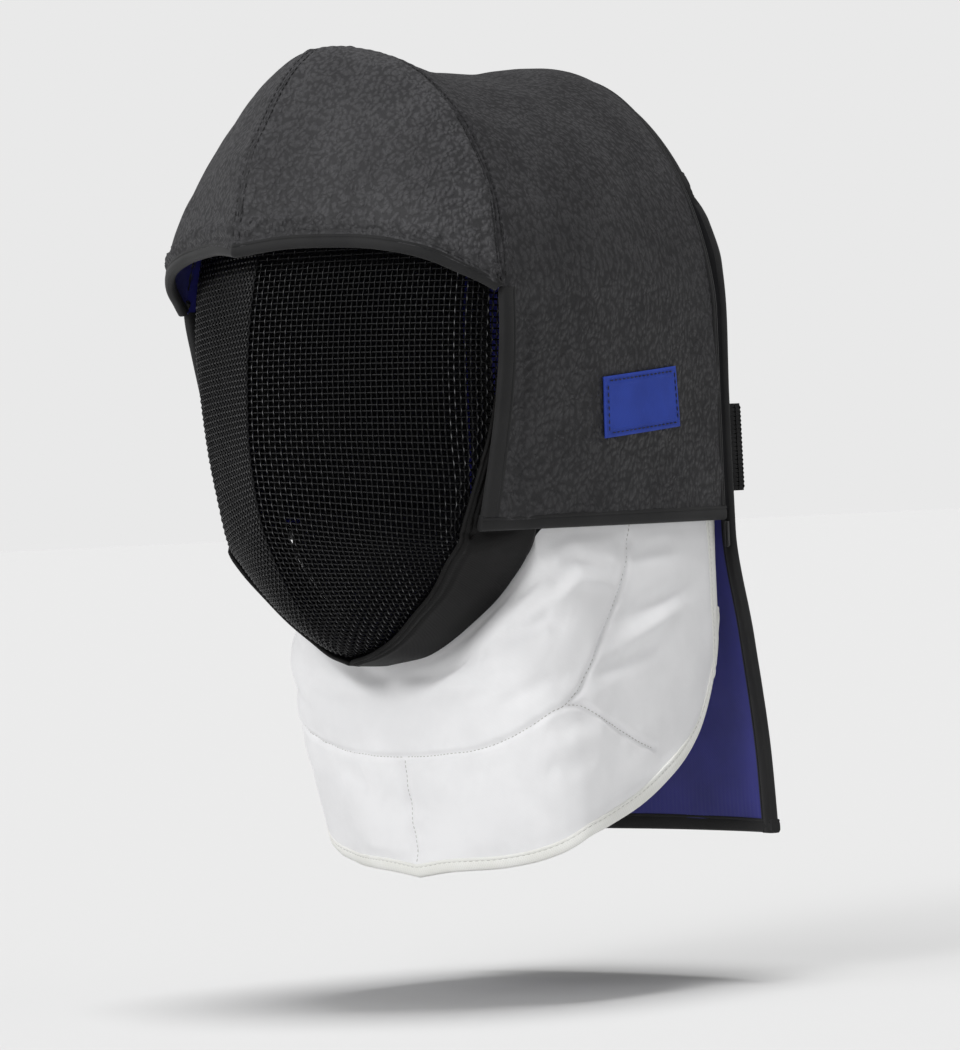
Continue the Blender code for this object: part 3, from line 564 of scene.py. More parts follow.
# %% Pebbled grain
def make_grain():
    """Warped cells with a finer roughness over them."""
    board, given, result = new_group("pebbled grain", (
        ("Vector", "NodeSocketVector", None), ("Cells", "NodeSocketFloat", 400.0),
    ), ("Height", "Crease"))
    warp = board.add("TexNoise", noise_dimensions="3D")
    warp.inputs["Scale"].default_value = 120.0
    warp.inputs["Detail"].default_value = 3.0
    board.join(given["Vector"], warp.inputs["Vector"])
    shift = board.add("VectorMath", operation="SCALE")
    board.join(warp.outputs["Color"], shift.inputs[0])
    shift.inputs["Scale"].default_value = 0.0060
    moved = board.add("VectorMath", operation="ADD")
    board.join(given["Vector"], moved.inputs[0])
    board.join(shift.outputs[0], moved.inputs[1])
    cells = board.add("TexVoronoi", feature="SMOOTH_F1")
    cells.inputs["Smoothness"].default_value = 0.35
    cells.inputs["Randomness"].default_value = 0.95
    board.join(moved.outputs[0], cells.inputs["Vector"])
    board.join(given["Cells"], cells.inputs["Scale"])
    pebble = board.spread(cells.outputs["Distance"], 0.05, 0.75, 1.0, 0.0)
    fine = board.add("TexNoise")
    fine.inputs["Scale"].default_value = 700.0
    fine.inputs["Detail"].default_value = 3.0
    board.join(given["Vector"], fine.inputs["Vector"])
    rough = board.maths("MULTIPLY", fine.outputs["Fac"], 0.35)
    board.join(board.maths("ADD", pebble, rough), result["Height"])
    board.join(board.spread(cells.outputs["Distance"], 0.44, 0.70), result["Crease"])
    return board.tree


# %% Woven cloth
def make_weave():
    """Threads over and under each other, from a vector in metres."""
    board, given, result = new_group("woven cloth", (
        ("Vector", "NodeSocketVector", None), ("Pitch", "NodeSocketFloat", 0.001)), ("Height",))
    apart = board.add("SeparateXYZ")
    board.join(given["Vector"], apart.inputs[0])
    turns = []
    for axis in ("X", "Y"):
        share = board.maths("DIVIDE", apart.outputs[axis], given["Pitch"])
        turns.append(board.maths("MULTIPLY", share, math.pi))
    warp, weft = [board.maths("SINE", turn) for turn in turns]
    level = board.maths("MULTIPLY", warp, weft)
    board.join(board.spread(level, -1.0, 1.0), result["Height"])
    return board.tree


# %% Uneven colour
def make_uneven():
    """Soft cloudy patches."""
    board, given, result = new_group("uneven colour", (
        ("Vector", "NodeSocketVector", None), ("Size", "NodeSocketFloat", 25.0)), ("Mask",))
    cloud = board.add("TexNoise")
    cloud.inputs["Detail"].default_value = 5.0
    cloud.inputs["Roughness"].default_value = 0.6
    board.join(given["Vector"], cloud.inputs["Vector"])
    board.join(given["Size"], cloud.inputs["Scale"])
    board.join(board.spread(cloud.outputs["Fac"], 0.32, 0.68), result["Mask"])
    return board.tree


GRAIN, WEAVE, UNEVEN = make_grain(), make_weave(), make_uneven()


def finish(name, colour, roughness, metallic=0.0, specular=0.5, sheen=0.0):
    """A finish, its board and its shader, with the constants on the shader's own sockets."""
    look = bpy.data.materials.new(name)
    look.use_nodes = True
    look.diffuse_color = (*colour, 1.0)
    shader = look.node_tree.nodes["Principled BSDF"]
    shader.inputs["Base Color"].default_value = (*colour, 1.0)
    shader.inputs["Roughness"].default_value = roughness
    shader.inputs["Metallic"].default_value = metallic
    shader.inputs["Specular IOR Level"].default_value = specular
    shader.inputs["Sheen Weight"].default_value = sheen
    return look, Board(look.node_tree), shader


def use_group(board, tree, vector, **values):
    """Puts a group in a finish, with its values, and gives its outputs."""
    node = board.add("Group", node_tree=tree)
    board.join(vector, node.inputs["Vector"])
    for name, value in values.items():
        node.inputs[name].default_value = value
    return node.outputs


def raise_by(board, shader, height, distance, strength=1.0):
    """Bump from a height mask, distance metres high."""
    bump = board.add("Bump")
    bump.inputs["Distance"].default_value = distance
    bump.inputs["Strength"].default_value = strength
    board.join(height, bump.inputs["Height"])
    board.join(bump.outputs[0], shader.inputs["Normal"])


# %% [markdown]
# ## Leather
# The hood is thick pebbled hide, dyed right through. The pebbles are cells about two and a
# half millimetres across, longer than wide where the hide is pulled over the head. Voronoi
# cells with a warped edge give them; the creases are duller and painted darker as shade.
# The front panels are the same hide, painted a little paler for the light that falls on them.


# %% Leather finish
# Painted shade in the creases between the pebbles.
CREASE_SHADE_TONE = (0.005, 0.005, 0.0055)


def make_leather(name, stretch, dark, light):
    """Pebbled hide between two tones, with its cells stretched along the axes."""
    look, board, shader = finish(name, (0.022, 0.0215, 0.0235), 0.5, specular=0.32)
    where = board.add("TexCoord")
    pull = board.add("Mapping")
    pull.inputs["Scale"].default_value = stretch
    board.join(where.outputs["Object"], pull.inputs["Vector"])
    grain = use_group(board, GRAIN, pull.outputs[0], Cells=400.0)
    cloud = use_group(board, UNEVEN, where.outputs["Object"], Size=30.0)
    tone = board.mix(cloud["Mask"], dark, light)
    # Painted shade: the creases are darkened toward the crease tone.
    crease = board.maths("MULTIPLY", grain["Crease"], 0.50)
    board.join(board.mix(crease, tone, CREASE_SHADE_TONE), shader.inputs["Base Color"])
    board.join(board.spread(grain["Height"], 0.2, 1.2, 0.66, 0.48), shader.inputs["Roughness"])
    raise_by(board, shader, grain["Height"], 0.0010, 0.9)
    return look


LEATHER_CROWN = make_leather("pebbled leather, crown", (1.0, 0.95, 0.70),
                             (0.026, 0.0255, 0.0275), (0.036, 0.0355, 0.0378))
# The front panels' copy of the hide is painted paler, as the light that falls on them.
LEATHER_FRONT_LIT = make_leather("pebbled leather, front, painted lighter", (1.0, 1.0, 0.9),
                             (0.040, 0.0395, 0.0420), (0.052, 0.0515, 0.0545))

# %% [markdown]
# ## Cloth, tape, webbing and wire
# The bindings and the band round the mesh are black cloth, the linings are blue satin, and
# the bib is white cotton. Each is the same weave at its own pitch, laid along the piece's own
# UV map, with uneven colour and a little sheen from loose fibres.


# %% Cloth finishes
def make_cloth(name, dark, light, roughness, pitch, depth, sheen=0.0, specular=0.3,
               cloud_size=40.0, gaps=0.25):
    """Woven cloth between two tones. gaps says how much darker it is between its threads."""
    look, board, shader = finish(name, light, roughness, specular=specular, sheen=sheen)
    shader.inputs["Sheen Roughness"].default_value = 0.5
    where = board.add("TexCoord")
    weave = use_group(board, WEAVE, where.outputs["UV"], Pitch=pitch)
    cloud = use_group(board, UNEVEN, where.outputs["Object"], Size=cloud_size)
    tone = board.mix(cloud["Mask"], dark, light)
    shade = board.spread(weave["Height"], 0.0, 0.6, gaps, 0.0)
    deep = tuple(0.75 * part for part in dark)
    board.join(board.mix(shade, tone, deep), shader.inputs["Base Color"])
    raise_by(board, shader, weave["Height"], depth, 0.7)
    return look


TAPE = make_cloth("black cloth tape", (0.008, 0.008, 0.0085), (0.013, 0.013, 0.0135), 0.72,
                  0.0006, 0.00006, sheen=0.08)
BAND_CLOTH = make_cloth("black coated canvas", (0.0035, 0.0033, 0.0033),
                        (0.006, 0.0056, 0.0056), 0.6, 0.0010, 0.00010, specular=0.2)
COTTON = make_cloth("white padded cotton", (0.80, 0.80, 0.81), (0.86, 0.86, 0.87), 0.9,
                    0.0008, 0.00002, sheen=0.2, cloud_size=22.0, gaps=0.03)
WHITE_TAPE = make_cloth("white cotton tape", (0.82, 0.82, 0.78), (0.87, 0.87, 0.84), 0.9,
                        0.0007, 0.00008)
SATIN = make_cloth("blue lining", (0.024, 0.026, 0.23), (0.034, 0.036, 0.29), 0.55,
                   0.0007, 0.00006, sheen=0.1, specular=0.4)
WEBBING = make_cloth("black elastic webbing", (0.007, 0.007, 0.0075), (0.012, 0.012, 0.0125),
                     0.8, 0.0011, 0.00022, sheen=0.05)
PAD_CLOTH = make_cloth("black pad cloth", (0.005, 0.005, 0.006), (0.009, 0.009, 0.010), 0.85,
                       0.0009, 0.00008, sheen=0.03, specular=0.2)
PATCH = make_cloth("blue woven patch", (0.022, 0.050, 0.32), (0.028, 0.064, 0.40), 0.75,
                   0.0006, 0.00012)
BLACK_THREAD = finish("black thread", (0.010, 0.010, 0.011), 0.7)[0]
# The white thread is painted grey, as the shade on stitches sunk into the bib's seams.
WHITE_THREAD_SHADED = finish("white thread", (0.48, 0.47, 0.45), 0.85)[0]


# %% Painted wire
# Grey of the painted glint, a highlight put in the colour of the column crests.
PAINTED_GLINT_TONE = (0.22, 0.22, 0.225)


def make_wire():
    """Near black paint, with a painted grey glint where the wire's attribute says so."""
    look, board, shader = finish("black painted wire", (0.003, 0.003, 0.0035), 0.3, specular=0.16)
    where = board.add("TexCoord")
    cloud = use_group(board, UNEVEN, where.outputs["Object"], Size=160.0)
    # The attribute marks where the grey glint is painted on the crests.
    painted_glint = board.add("Attribute", attribute_name="painted_glint")
    paint = board.mix(cloud["Mask"], (0.0015, 0.0015, 0.002), (0.003, 0.003, 0.0035))
    glint_share = board.spread(painted_glint.outputs["Fac"], 0.45, 0.85)
    board.join(board.mix(glint_share, paint, PAINTED_GLINT_TONE), shader.inputs["Base Color"])
    board.join(board.spread(cloud["Mask"], 0.0, 1.0, 0.24, 0.38), shader.inputs["Roughness"])
    return look


WIRE_PAINT = make_wire()
print(len(bpy.data.materials), "finishes")

# %% [markdown]
# ## Small shapes in a surface
# Hide and cloth are never even. Slow noise lifts and sinks a sheet by fractions of a
# millimetre, and a seam pulls its edge down, dents it under each row of stitches and lets
# it swell beside them. A search tree finds how far a point is from a seam.


# %% Relief helpers
def ripple(points, size, depth, shift=0.0):
    """Soft unevenness at the points, size metres across and depth metres high."""
    step = Vector((shift, 2 * shift, -shift))
    return np.array([depth * noise.noise(Vector(point) / size + step) for point in points])


def bell(distance, width):
    """1 at no distance, falling off smoothly over a width."""
    return np.exp(-(distance / width) ** 2)


def tree_of(places):
    """A search tree over points."""
    tree = KDTree(len(places))
    for i, place in enumerate(places):
        tree.insert(place, i)
    tree.balance()
    return tree


SEAM_STITCH = 0.0023        # row of stitches beside a seam


def seam_relief(distance):
    """Height of hide at a distance from a double stitched seam."""
    return (-0.0016 * bell(distance, 0.0010) - 0.0008 * bell(distance - SEAM_STITCH, 0.0008)
            + 0.0006 * bell(distance - 0.0055, 0.0026))


def pucker(run, distance, pitch, depth, reach):
    """Short gathers across a seam, strongest beside it."""
    gathers = np.sin(2 * math.pi * run / pitch + 1.3 * np.sin(31.0 * run))
    return depth * gathers * np.exp(-distance / reach)


# %% [markdown]
# ## Crown panel
# One piece of hide goes from the arc seam to the rear edge and from hem to hem. It is laid
# as one grid with faces of two millimetres, so that the seam, its gathers and the soft
# hollows in the hide are real shape. Its edges run on under the bindings.


# %% Crown panel
def closer(share, *knots):
    """Moves a grid's lines closer together where a seam needs finer faces."""
    given, wanted = zip((0.0, 0.0), *knots, (1.0, 1.0))
    return np.interp(share, given, wanted)


def crown_place(distance, relief=True):
    """Places of the crown at a distance from its outer face, with or without its relief."""
    def place(u, v):
        u = closer(u, (0.13, 0.05), (0.26, 0.13))
        low = arch_above_hem(u, 0.003)
        side = (2 * v - 1) * low
        arch = np.abs(side)
        first = ease((arch - 0.5) / 0.045) * 0.004 / HOOD_DEPTH
        along = lerp(first, 1 - 0.0015 / HOOD_DEPTH, u)
        points = hood_surface(along, side)
        normal = outward(hood_surface, along, side)
        height = np.full(len(u), distance)
        if relief:
            seam = (along - first) * HOOD_DEPTH
            on_arch = 1 - ease((arch - 0.49) / 0.03)
            height += on_arch * seam_relief(seam)
            height += on_arch * pucker(arch * 0.46, seam, 0.009, 0.00022, 0.010)
            height += ripple(points, 0.045, 0.0011, 3.0) + ripple(points, 0.016, 0.0004, 7.0)
            beside = ease((arch - 0.52) / 0.02) * (1 - ease((arch - 0.88) / 0.06))
            beside = beside * bell(seam - 0.0125, 0.0036)
            slant = 2 * math.pi * (points[:, 2] - 0.9 * seam) / 0.0060
            height += beside * (0.0005 * np.sin(slant) - 0.0003)
            hem = (1 - arch) * 2 * 0.12
            gathers = pucker(along * HOOD_DEPTH, hem, 0.011, 0.0003, 0.012)
            height += gathers * ease((hem - 0.004) / 0.004)
        return points + height[:, None] * normal
    return place


CROWN_CUT = (HOOD_DEPTH, 0.62)
FRONT_CUT = (0.20, 0.14)

crown = lay("crown", 90, 380, crown_place(0.0), CROWN_CUT)
thicken(crown, LEATHER, HEAD)
dress(crown, "leather", LEATHER_CROWN, "crown_panel")
crown_inside = lay("crown_inside", 40, 110, crown_place(-LEATHER - GAP, False), CROWN_CUT)
thicken(crown_inside, LINING, HEAD)
dress(crown_inside, "lining", SATIN, "crown_lining")


# %% [markdown]
# ## Front panels
# Two panels meet in a double stitched seam down the middle and fall to the brim. Above the
# brim the hide is gathered into short creases where the binding draws it in.


# %% Front panels
def last_tenth(turn):
    """Length of the last tenth of a panel's profile."""
    return apart(brim_surface(turn, 1.0), brim_surface(turn, 0.9))


def way_from_brim(turn, distance):
    """Share of a panel's profile that lies this far above the brim edge."""
    return 1 - 0.1 * distance / last_tenth(turn)


def front_place(side, distance, relief=True):
    """Places of one front panel, as crown_place."""
    def place(u, v):
        u = closer(u, (0.13, 0.045), (0.93, 0.96))
        v = closer(v, (0.13, 0.060), (0.60, 0.66))
        turn = side * np.maximum(u, 1e-4)
        way = lerp(0.0, way_from_brim(turn, 0.004), v)
        points = brim_surface(turn, way)
        normal = outward(brim_surface, turn, way, -1.0, 1.0)
        height = np.full(len(u), distance)
        if relief:
            centre = np.abs(points[:, 0])
            arc = apart(points, hood_surface(0.0, 0.5 * turn))
            above = (1 - way) * 10 * last_tenth(turn)
            height = height + seam_relief(centre) + seam_relief(arc)
            height += pucker(v * 0.15, centre, 0.008, 0.00025, 0.008)
            height += pucker(u * 0.22, arc, 0.009, 0.00022, 0.008)
            crumple = bell(above - 0.0135, 0.0036)
            ridges = 1 - 2.2 * np.abs(ripple(points * (1.0, 1.0, 1.3), 0.0060, 1.0, 11.0))
            groove = 0.0009 * bell(above - 0.0086, 0.0012)
            height += crumple * (0.0018 * ridges + 0.0003) - groove
            height += ripple(points, 0.040, 0.0012, 5.0) + ripple(points, 0.015, 0.0004, 9.0)
        points = points + height[:, None] * normal
        points[:, 0] = side * np.maximum(side * points[:, 0], 0.0)
        return points
    return place


for side, hand in SIDES:
    front = lay("front_" + hand, 150, 120, front_place(side, 0.0), FRONT_CUT)
    thicken(front, LEATHER, HEAD)
    dress(front, "leather", LEATHER_FRONT_LIT, "front_panel_" + hand)
    plain = front_place(side, -LEATHER - GAP, False)
    inside = lay("front_inside_" + hand, 40, 36, plain, FRONT_CUT)
    thicken(inside, LINING, HEAD)
    dress(inside, "lining", SATIN, "front_lining_" + hand)

# %% [markdown]
# ## Bindings
# Every cut edge is wrapped in folded black tape. A binding is the edge's surface with a
# closed section round it: a stitched lip on the outside, a round nose over the edge and the
# same lip inside. The section is rolled up as a sheet, whose first and last rows are joined.


# %% A binding's section and the tape along an edge
TAPE_STITCH = 0.0018        # row of stitches in from the tape's inner edge


def tape_section(width, wall, proud):
    """Distances in from the edge and heights above the surface, once round the tape."""
    nose = min(0.0018, 0.3 * width)
    outer = [(width, -0.4 * proud), (width - 0.0001, 0.5 * proud), (width - 0.0006, proud),
             (width - 0.0013, proud), (width - TAPE_STITCH, 0.55 * proud),
             (width - 0.0023, 1.05 * proud), (0.45 * width, 1.15 * proud), (nose, 0.95 * proud),
             (0.35 * nose, 0.1 * proud), (0.08 * nose, -0.18 * wall), (0.0, -0.38 * wall)]
    inner = [(d, -wall - h) for d, h in reversed(outer)]
    return np.array(outer + inner)


def bind(name, edge, steps, width, wall, proud, cut, rounded=0.0):
    """Tape round an edge. edge takes a share along it and a distance in, and gives points."""
    section = tape_section(width, wall, proud)
    loop = np.vstack((section, section[:1]))
    marks = np.linspace(0.0, 1.0, len(loop))

    def place(u, v):
        into = np.interp(v, marks, loop[:, 0])
        height = np.interp(v, marks, loop[:, 1])
        uneven = ripple(edge(u, into), 0.014, 0.00008, 2.0)
        height = height + np.where(height > 0, uneven, 0.0)
        normal = outward(edge, u, into)
        if rounded:
            other = outward(edge, 1 - u, into)
            share = 0.5 + 0.5 * ease(np.abs(2 * u - 1) / rounded)[:, None]
            normal = lerp(other, normal, share)
            normal /= np.maximum(np.linalg.norm(normal, axis=1, keepdims=True), 1e-12)
        return edge(u, into) + height[:, None] * normal

    tape = lay(name, steps, len(section), place, cut)
    close_tube(tape)
    return tape


# %% The edges that are bound
def brim_edge(u, into):
    turn = 2 * u - 1
    return brim_surface(turn, way_from_brim(turn, into))


def rear_edge(u, into):
    low = arch_above_hem(1.0, HEM_BINDING)
    return hood_surface(1 - into / HOOD_DEPTH, (2 * u - 1) * low)


def hem_edge(side):
    return lambda u, into: hood_surface(u, side * arch_above_hem(u, into))


def face_edge(side):
    low = arch_above_hem(0.0, HEM_BINDING)
    return lambda u, into: hood_surface(into / HOOD_DEPTH, side * lerp(0.503, low, u))


# %% Hood bindings
brim_tape = bind("brim_tape", brim_edge, 180, BRIM_BINDING, WALL, BINDING_PROUD, (0.36, 0.02),
                 rounded=0.06)
dress(brim_tape, "binding", TAPE, "brim_binding")
rear_tape = bind("rear_tape", rear_edge, 160, REAR_BINDING, WALL, BINDING_PROUD, (0.56, 0.015))
dress(rear_tape, "binding", TAPE, "rear_binding")
for side, hand in SIDES:
    tape = bind("hem_tape_" + hand, hem_edge(side), 90, HEM_BINDING, WALL, BINDING_PROUD,
                (0.18, 0.02))
    dress(tape, "binding", TAPE, "hem_binding_" + hand)
    tape = bind("face_tape_" + hand, face_edge(side), 70, FACE_BINDING, WALL, BINDING_PROUD,
                (0.12, 0.02))
    dress(tape, "binding", TAPE, "face_binding_" + hand)

# %% [markdown]
# ## Head pad and rear gussets
# A thin quilted pad of black cloth lines the hood inside, and a narrow strip of cloth on
# each side closes the way between the hood's rear edge and the flap. Both are mostly
# hidden, but without them light falls in and shows through the mesh.


# %% Head pad
def pad_place(u, v):
    along = lerp(0.03, 0.955, u)
    side = (2 * v - 1) * arch_above_hem(along, 0.010)
    points = hood_surface(along, side)
    quilt = np.sin(math.pi * 6 * u) ** 2 * np.sin(math.pi * 16 * v) ** 2
    edge = np.minimum(np.minimum(u, 1 - u) * 0.13, np.minimum(v, 1 - v) * 0.56)
    full = ease((along - 0.20) / 0.05)
    height = -WALL - 0.0005 - full * (0.0004 + 0.0012 * (1 - quilt))
    height = height - 0.0006 * full * bell(edge, 0.0020)
    return points + height[:, None] * outward(hood_surface, along, side)


head_pad = lay("head_pad", 60, 160, pad_place, (0.13, 0.56))
thicken(head_pad, PAD_WALL, HEAD)
dress(head_pad, "canvas", PAD_CLOTH)


# %% Rear gussets
def gusset_place(side):
    def place(u, v):
        arch = lerp(0.16, 0.975, v)
        start = hood_surface(0.99, side * arch)
        start = start - 0.0034 * outward(hood_surface, 0.99, side * arch)
        across = side * 0.985 * np.minimum(arch / FLAP_ARCH, 1.0)
        top = flap_surface(across, 0.0)[:, 2]
        length = top - flap_surface(across, 1.0)[:, 2]
        down = np.clip((top - start[:, 2]) / length, 0.003 / FLAP_LENGTH, 1.0)
        end = flap_surface(across, down)
        slack = np.sin(math.pi * u)[:, None] * np.array((-0.0004 * side, 0.0, 0.0))
        return lerp(start, end, u[:, None]) + slack
    return place


for side, hand in SIDES:
    gusset = lay("gusset_" + hand, 8, 80, gusset_place(side), (0.01, 0.20))
    thicken(gusset, GUSSET_WALL, HEAD)
    dress(gusset, "canvas", PAD_CLOTH)

# %% [markdown]
# ## Stitches
# A stitch is a short loop of thread that dips into the hide at both ends. One small ball is
# drawn out into a stitch, and its copies are set along each row, all in one mesh.

# %% One stitch, and a row of them
STITCH = 0.0026
STITCH_STEP = 0.0036


def make_stitch():
    """Points and faces of one small ball, which is drawn out into a stitch."""
    leave_all()
    bpy.ops.mesh.primitive_uv_sphere_add(segments=6, ring_count=4, radius=1.0)
    ball = bpy.context.object
    points = np.array([tuple(vertex.co) for vertex in ball.data.vertices])
    faces = [tuple(face.vertices) for face in ball.data.polygons]
    bpy.data.objects.remove(ball, do_unlink=True)
    return points, faces


STITCH_POINTS, STITCH_FACES = make_stitch()


def row_of(path, normals, length=STITCH, step=STITCH_STEP, radius=0.00036):
    """Points of a row of stitches along a path with its normals."""
    run = run_along(path)
    marks = np.arange(step, run[-1] - step / 2, step)

    def at(values, where):
        return np.stack([np.interp(where, run, values[:, i]) for i in range(3)], -1)

    start, end = at(path, marks - length / 2), at(path, marks + length / 2)
    ahead = end - start
    ahead /= np.linalg.norm(ahead, axis=1, keepdims=True)
    up = at(normals, marks)
    up /= np.linalg.norm(up, axis=1, keepdims=True)
    across = np.cross(up, ahead)
    shape = (STITCH_POINTS * (radius, radius * 0.8, length / 2))[None]
    spots = ((start + end) / 2)[:, None]
    return (spots + shape[..., 0, None] * across[:, None] + shape[..., 1, None] * up[:, None]
            + shape[..., 2, None] * ahead[:, None])


def sew(name, rows, look, slot):
    """One mesh with all the stitches of some rows."""
    points = np.concatenate([row.reshape(-1, 3) for row in rows])
    count = len(points) // len(STITCH_POINTS)
    size = len(STITCH_POINTS)
    faces = [tuple(size * i + k for k in face) for i in range(count) for face in STITCH_FACES]
    mesh = bpy.data.meshes.new(name)
    mesh.from_pydata(points.tolist(), [], faces)
    thread = bpy.data.objects.new(name, mesh)
    bpy.context.scene.collection.objects.link(thread)
    pick(thread)
    bpy.ops.object.mode_set(mode="EDIT")
    bpy.ops.mesh.select_all(action="SELECT")
    bpy.ops.mesh.normals_make_consistent(inside=False)
    bpy.ops.object.mode_set(mode="OBJECT")
    bpy.ops.object.shade_smooth()
    print(name, count, "stitches")
    return dress(thread, slot, look)


def along_surface(surface, first, second, height, low=0.0, high=1.0):
    """A path on a surface, a height above it, with its normals."""
    first, second = arrays(first, second)
    normal = outward(surface, first, second, low, high)
    return surface(first, second) + height * normal, normal


# %% Stitches in the hood
SHARES = np.linspace(0.0, 1.0, 300)


def seam_rows():
    """Rows beside the hood's seams, sunk a little, and along its bindings."""
    sunk = -0.0002
    side = np.linspace(-0.49, 0.49, 500)
    rows = [row_of(*along_surface(hood_surface, SEAM_STITCH / HOOD_DEPTH, side, sunk))]
    down = np.linspace(0.01, 0.95, 300)
    reach = np.maximum(np.abs(brim_surface(0.05, down)[..., 0]), 1e-4)
    for hand in (-1, 1):
        turn = hand * SHARES
        way = 0.04 * SEAM_STITCH / apart(brim_surface(turn, 0.04), brim_surface(turn, 0.0))
        rows.append(row_of(*along_surface(brim_surface, turn, way, sunk, -1.0, 1.0)))
        turn = hand * 0.05 * SEAM_STITCH / reach
        rows.append(row_of(*along_surface(brim_surface, turn, down, sunk, -1.0, 1.0)))
    for edge, width in ((brim_edge, BRIM_BINDING), (rear_edge, REAR_BINDING),
                        (hem_edge(1), HEM_BINDING), (hem_edge(-1), HEM_BINDING),
                        (face_edge(1), FACE_BINDING), (face_edge(-1), FACE_BINDING)):
        path = along_surface(edge, SHARES, width - TAPE_STITCH, 0.4 * BINDING_PROUD)
        rows.append(row_of(*path, length=0.0022, step=0.0031, radius=0.00022))
    return rows


sew("hood_stitches", seam_rows(), BLACK_THREAD, "binding")

# %% [markdown]
# ## Wire mesh
# The cage is a plain weave of one millimetre wire, pressed to shape. Each wire goes over one
# crossing and under the next, so its path steps a half millimetre out and in. The rows
# follow the cage round from its ridge and sag a little, and the columns draw together at
# the chin. The wires are curves with a round bevel, made mesh at the end. A grey glint is
# painted at the crests, where a column passes over a row, as a highlight in their colour.

# %% Crossings of the mesh
PITCH = 0.00292
WIRE = 0.00050              # half a wire's thickness
SAG = 0.018                 # how far a row sags at the rim, as a share of the turn
MESH_MIDDLE = -0.0010       # middle of the weave, from the cage's outer face
MIRROR = np.array((-1.0, 1.0, 1.0))


def mesh_rows():
    """Turns of the rows, one pitch apart on the ridge."""
    turns = np.linspace(0.0, 0.985, 3000)
    run = run_along(cage_surface(turns, 0.0))
    return np.interp(np.arange(0.5 * PITCH, run[-1], PITCH), run, turns)


def mesh_crossings():
    """For every row its crossings from the ridge to the band, on the left half."""
    ways = np.linspace(0.0, 1.0, 400)
    rows = []
    for start in mesh_rows():
        turn = np.clip(start - SAG * ways ** 1.3 * ease(start / 0.12), 0.0, 1.0)
        run = run_along(cage_surface(turn, ways))
        pitch = PITCH * lerp(0.80, 1.0, ease(start / 0.5))
        last = np.interp(band["start"](start) + 0.035, ways, run)
        way = np.interp(np.arange(0.0, last, pitch), run, ways)
        turn = np.interp(way, ways, turn)
        rows.append((cage_surface(turn, way), outward(cage_surface, turn, way)))
    return rows


CROSSINGS = mesh_crossings()
print(len(CROSSINGS), "rows,", max(len(points) for points, _ in CROSSINGS), "columns a side")


# %% Weaving
def bend(points, normals, signs):
    """Wire path through crossings, out where the sign is plus and in where it is minus."""
    return points + (MESH_MIDDLE + WIRE * np.array(signs, float))[:, None] * normals


def wires(name, paths, radius=WIRE, rounds=1):
    """Round wires along paths, drawn as one curve and made a mesh."""
    curve = bpy.data.curves.new(name, "CURVE")
    curve.dimensions = "3D"
    curve.bevel_depth = radius
    curve.bevel_resolution = rounds
    curve.use_fill_caps = True
    for path in paths:
        spline = curve.splines.new("POLY")
        spline.points.add(len(path) - 1)
        spline.points.foreach_set("co", np.column_stack((path, np.ones(len(path)))).ravel())
    made = bpy.data.objects.new(name, curve)
    bpy.context.scene.collection.objects.link(made)
    pick(made)
    bpy.ops.object.convert(target="MESH")
    made = bpy.context.object
    bpy.ops.object.shade_smooth()
    return made


def weave_rows():
    paths = []
    for i, (points, normals) in enumerate(CROSSINGS):
        whole = np.vstack((points[:0:-1] * MIRROR, points))
        aim = np.vstack((normals[:0:-1] * MIRROR, normals))
        count = len(points)
        columns = np.abs(np.arange(-count + 1, count))
        if len(whole) > 1:
            paths.append(bend(whole, aim, np.where((columns + i) % 2 == 0, 1, -1)))
    return paths


def weave_columns():
    paths = []
    widest = max(len(points) for points, _ in CROSSINGS)
    for j in range(widest):
        line = [(i, points[j], normals[j]) for i, (points, normals) in enumerate(CROSSINGS)
                if len(points) > j]
        breaks = [k for k in range(1, len(line)) if line[k][0] != line[k - 1][0] + 1]
        breaks = [0] + breaks + [len(line)]
        for first, last in zip(breaks[:-1], breaks[1:]):
            part = line[first:last]
            if len(part) < 2:
                continue
            points = np.array([item[1] for item in part])
            normals = np.array([item[2] for item in part])
            signs = [-1 if (item[0] + j) % 2 == 0 else 1 for item in part]
            for side in ((1, -1) if j else (1,)):
                mirror = np.array((side, 1.0, 1.0))
                paths.append(bend(points * mirror, normals * mirror, signs))
    return paths


dress(wires("mesh_rows", weave_rows()), "mesh", WIRE_PAINT, "mesh_cage")
columns = dress(wires("mesh_columns", weave_columns()), "mesh", WIRE_PAINT)


# %% Painted glints on the crests of the columns
GLINT_REACH = 0.0006         # how far from a crest the painted glint fades out


def crests():
    """The outermost place of every column where it passes over a row."""
    places = []
    for i, (points, normals) in enumerate(CROSSINGS):
        over = (np.arange(len(points)) + i) % 2 == 1
        crest = points[over] + (MESH_MIDDLE + 2 * WIRE) * normals[over]
        places.extend(crest)
        places.extend(crest * MIRROR)
    return tree_of(places)


CRESTS = crests()
# Painted glint: each column crest gets a grey highlight in its colour, held in this attribute.
painted_glint = columns.data.attributes.new("painted_glint", "FLOAT", "POINT")
away = np.array([CRESTS.find(vertex.co)[2] for vertex in columns.data.vertices])
painted_glint.data.foreach_set("value", np.clip(1 - away / GLINT_REACH, 0.0, 1.0))
print(int((away < 0.5 * GLINT_REACH).sum()), "worn places")

# %% [markdown]
# ## Band and piping
# Black coated canvas covers the rim of the mesh. Its inner edge is rolled over a cord, with
# a sewn line beside it, and a thin piping lies in front on the wires.


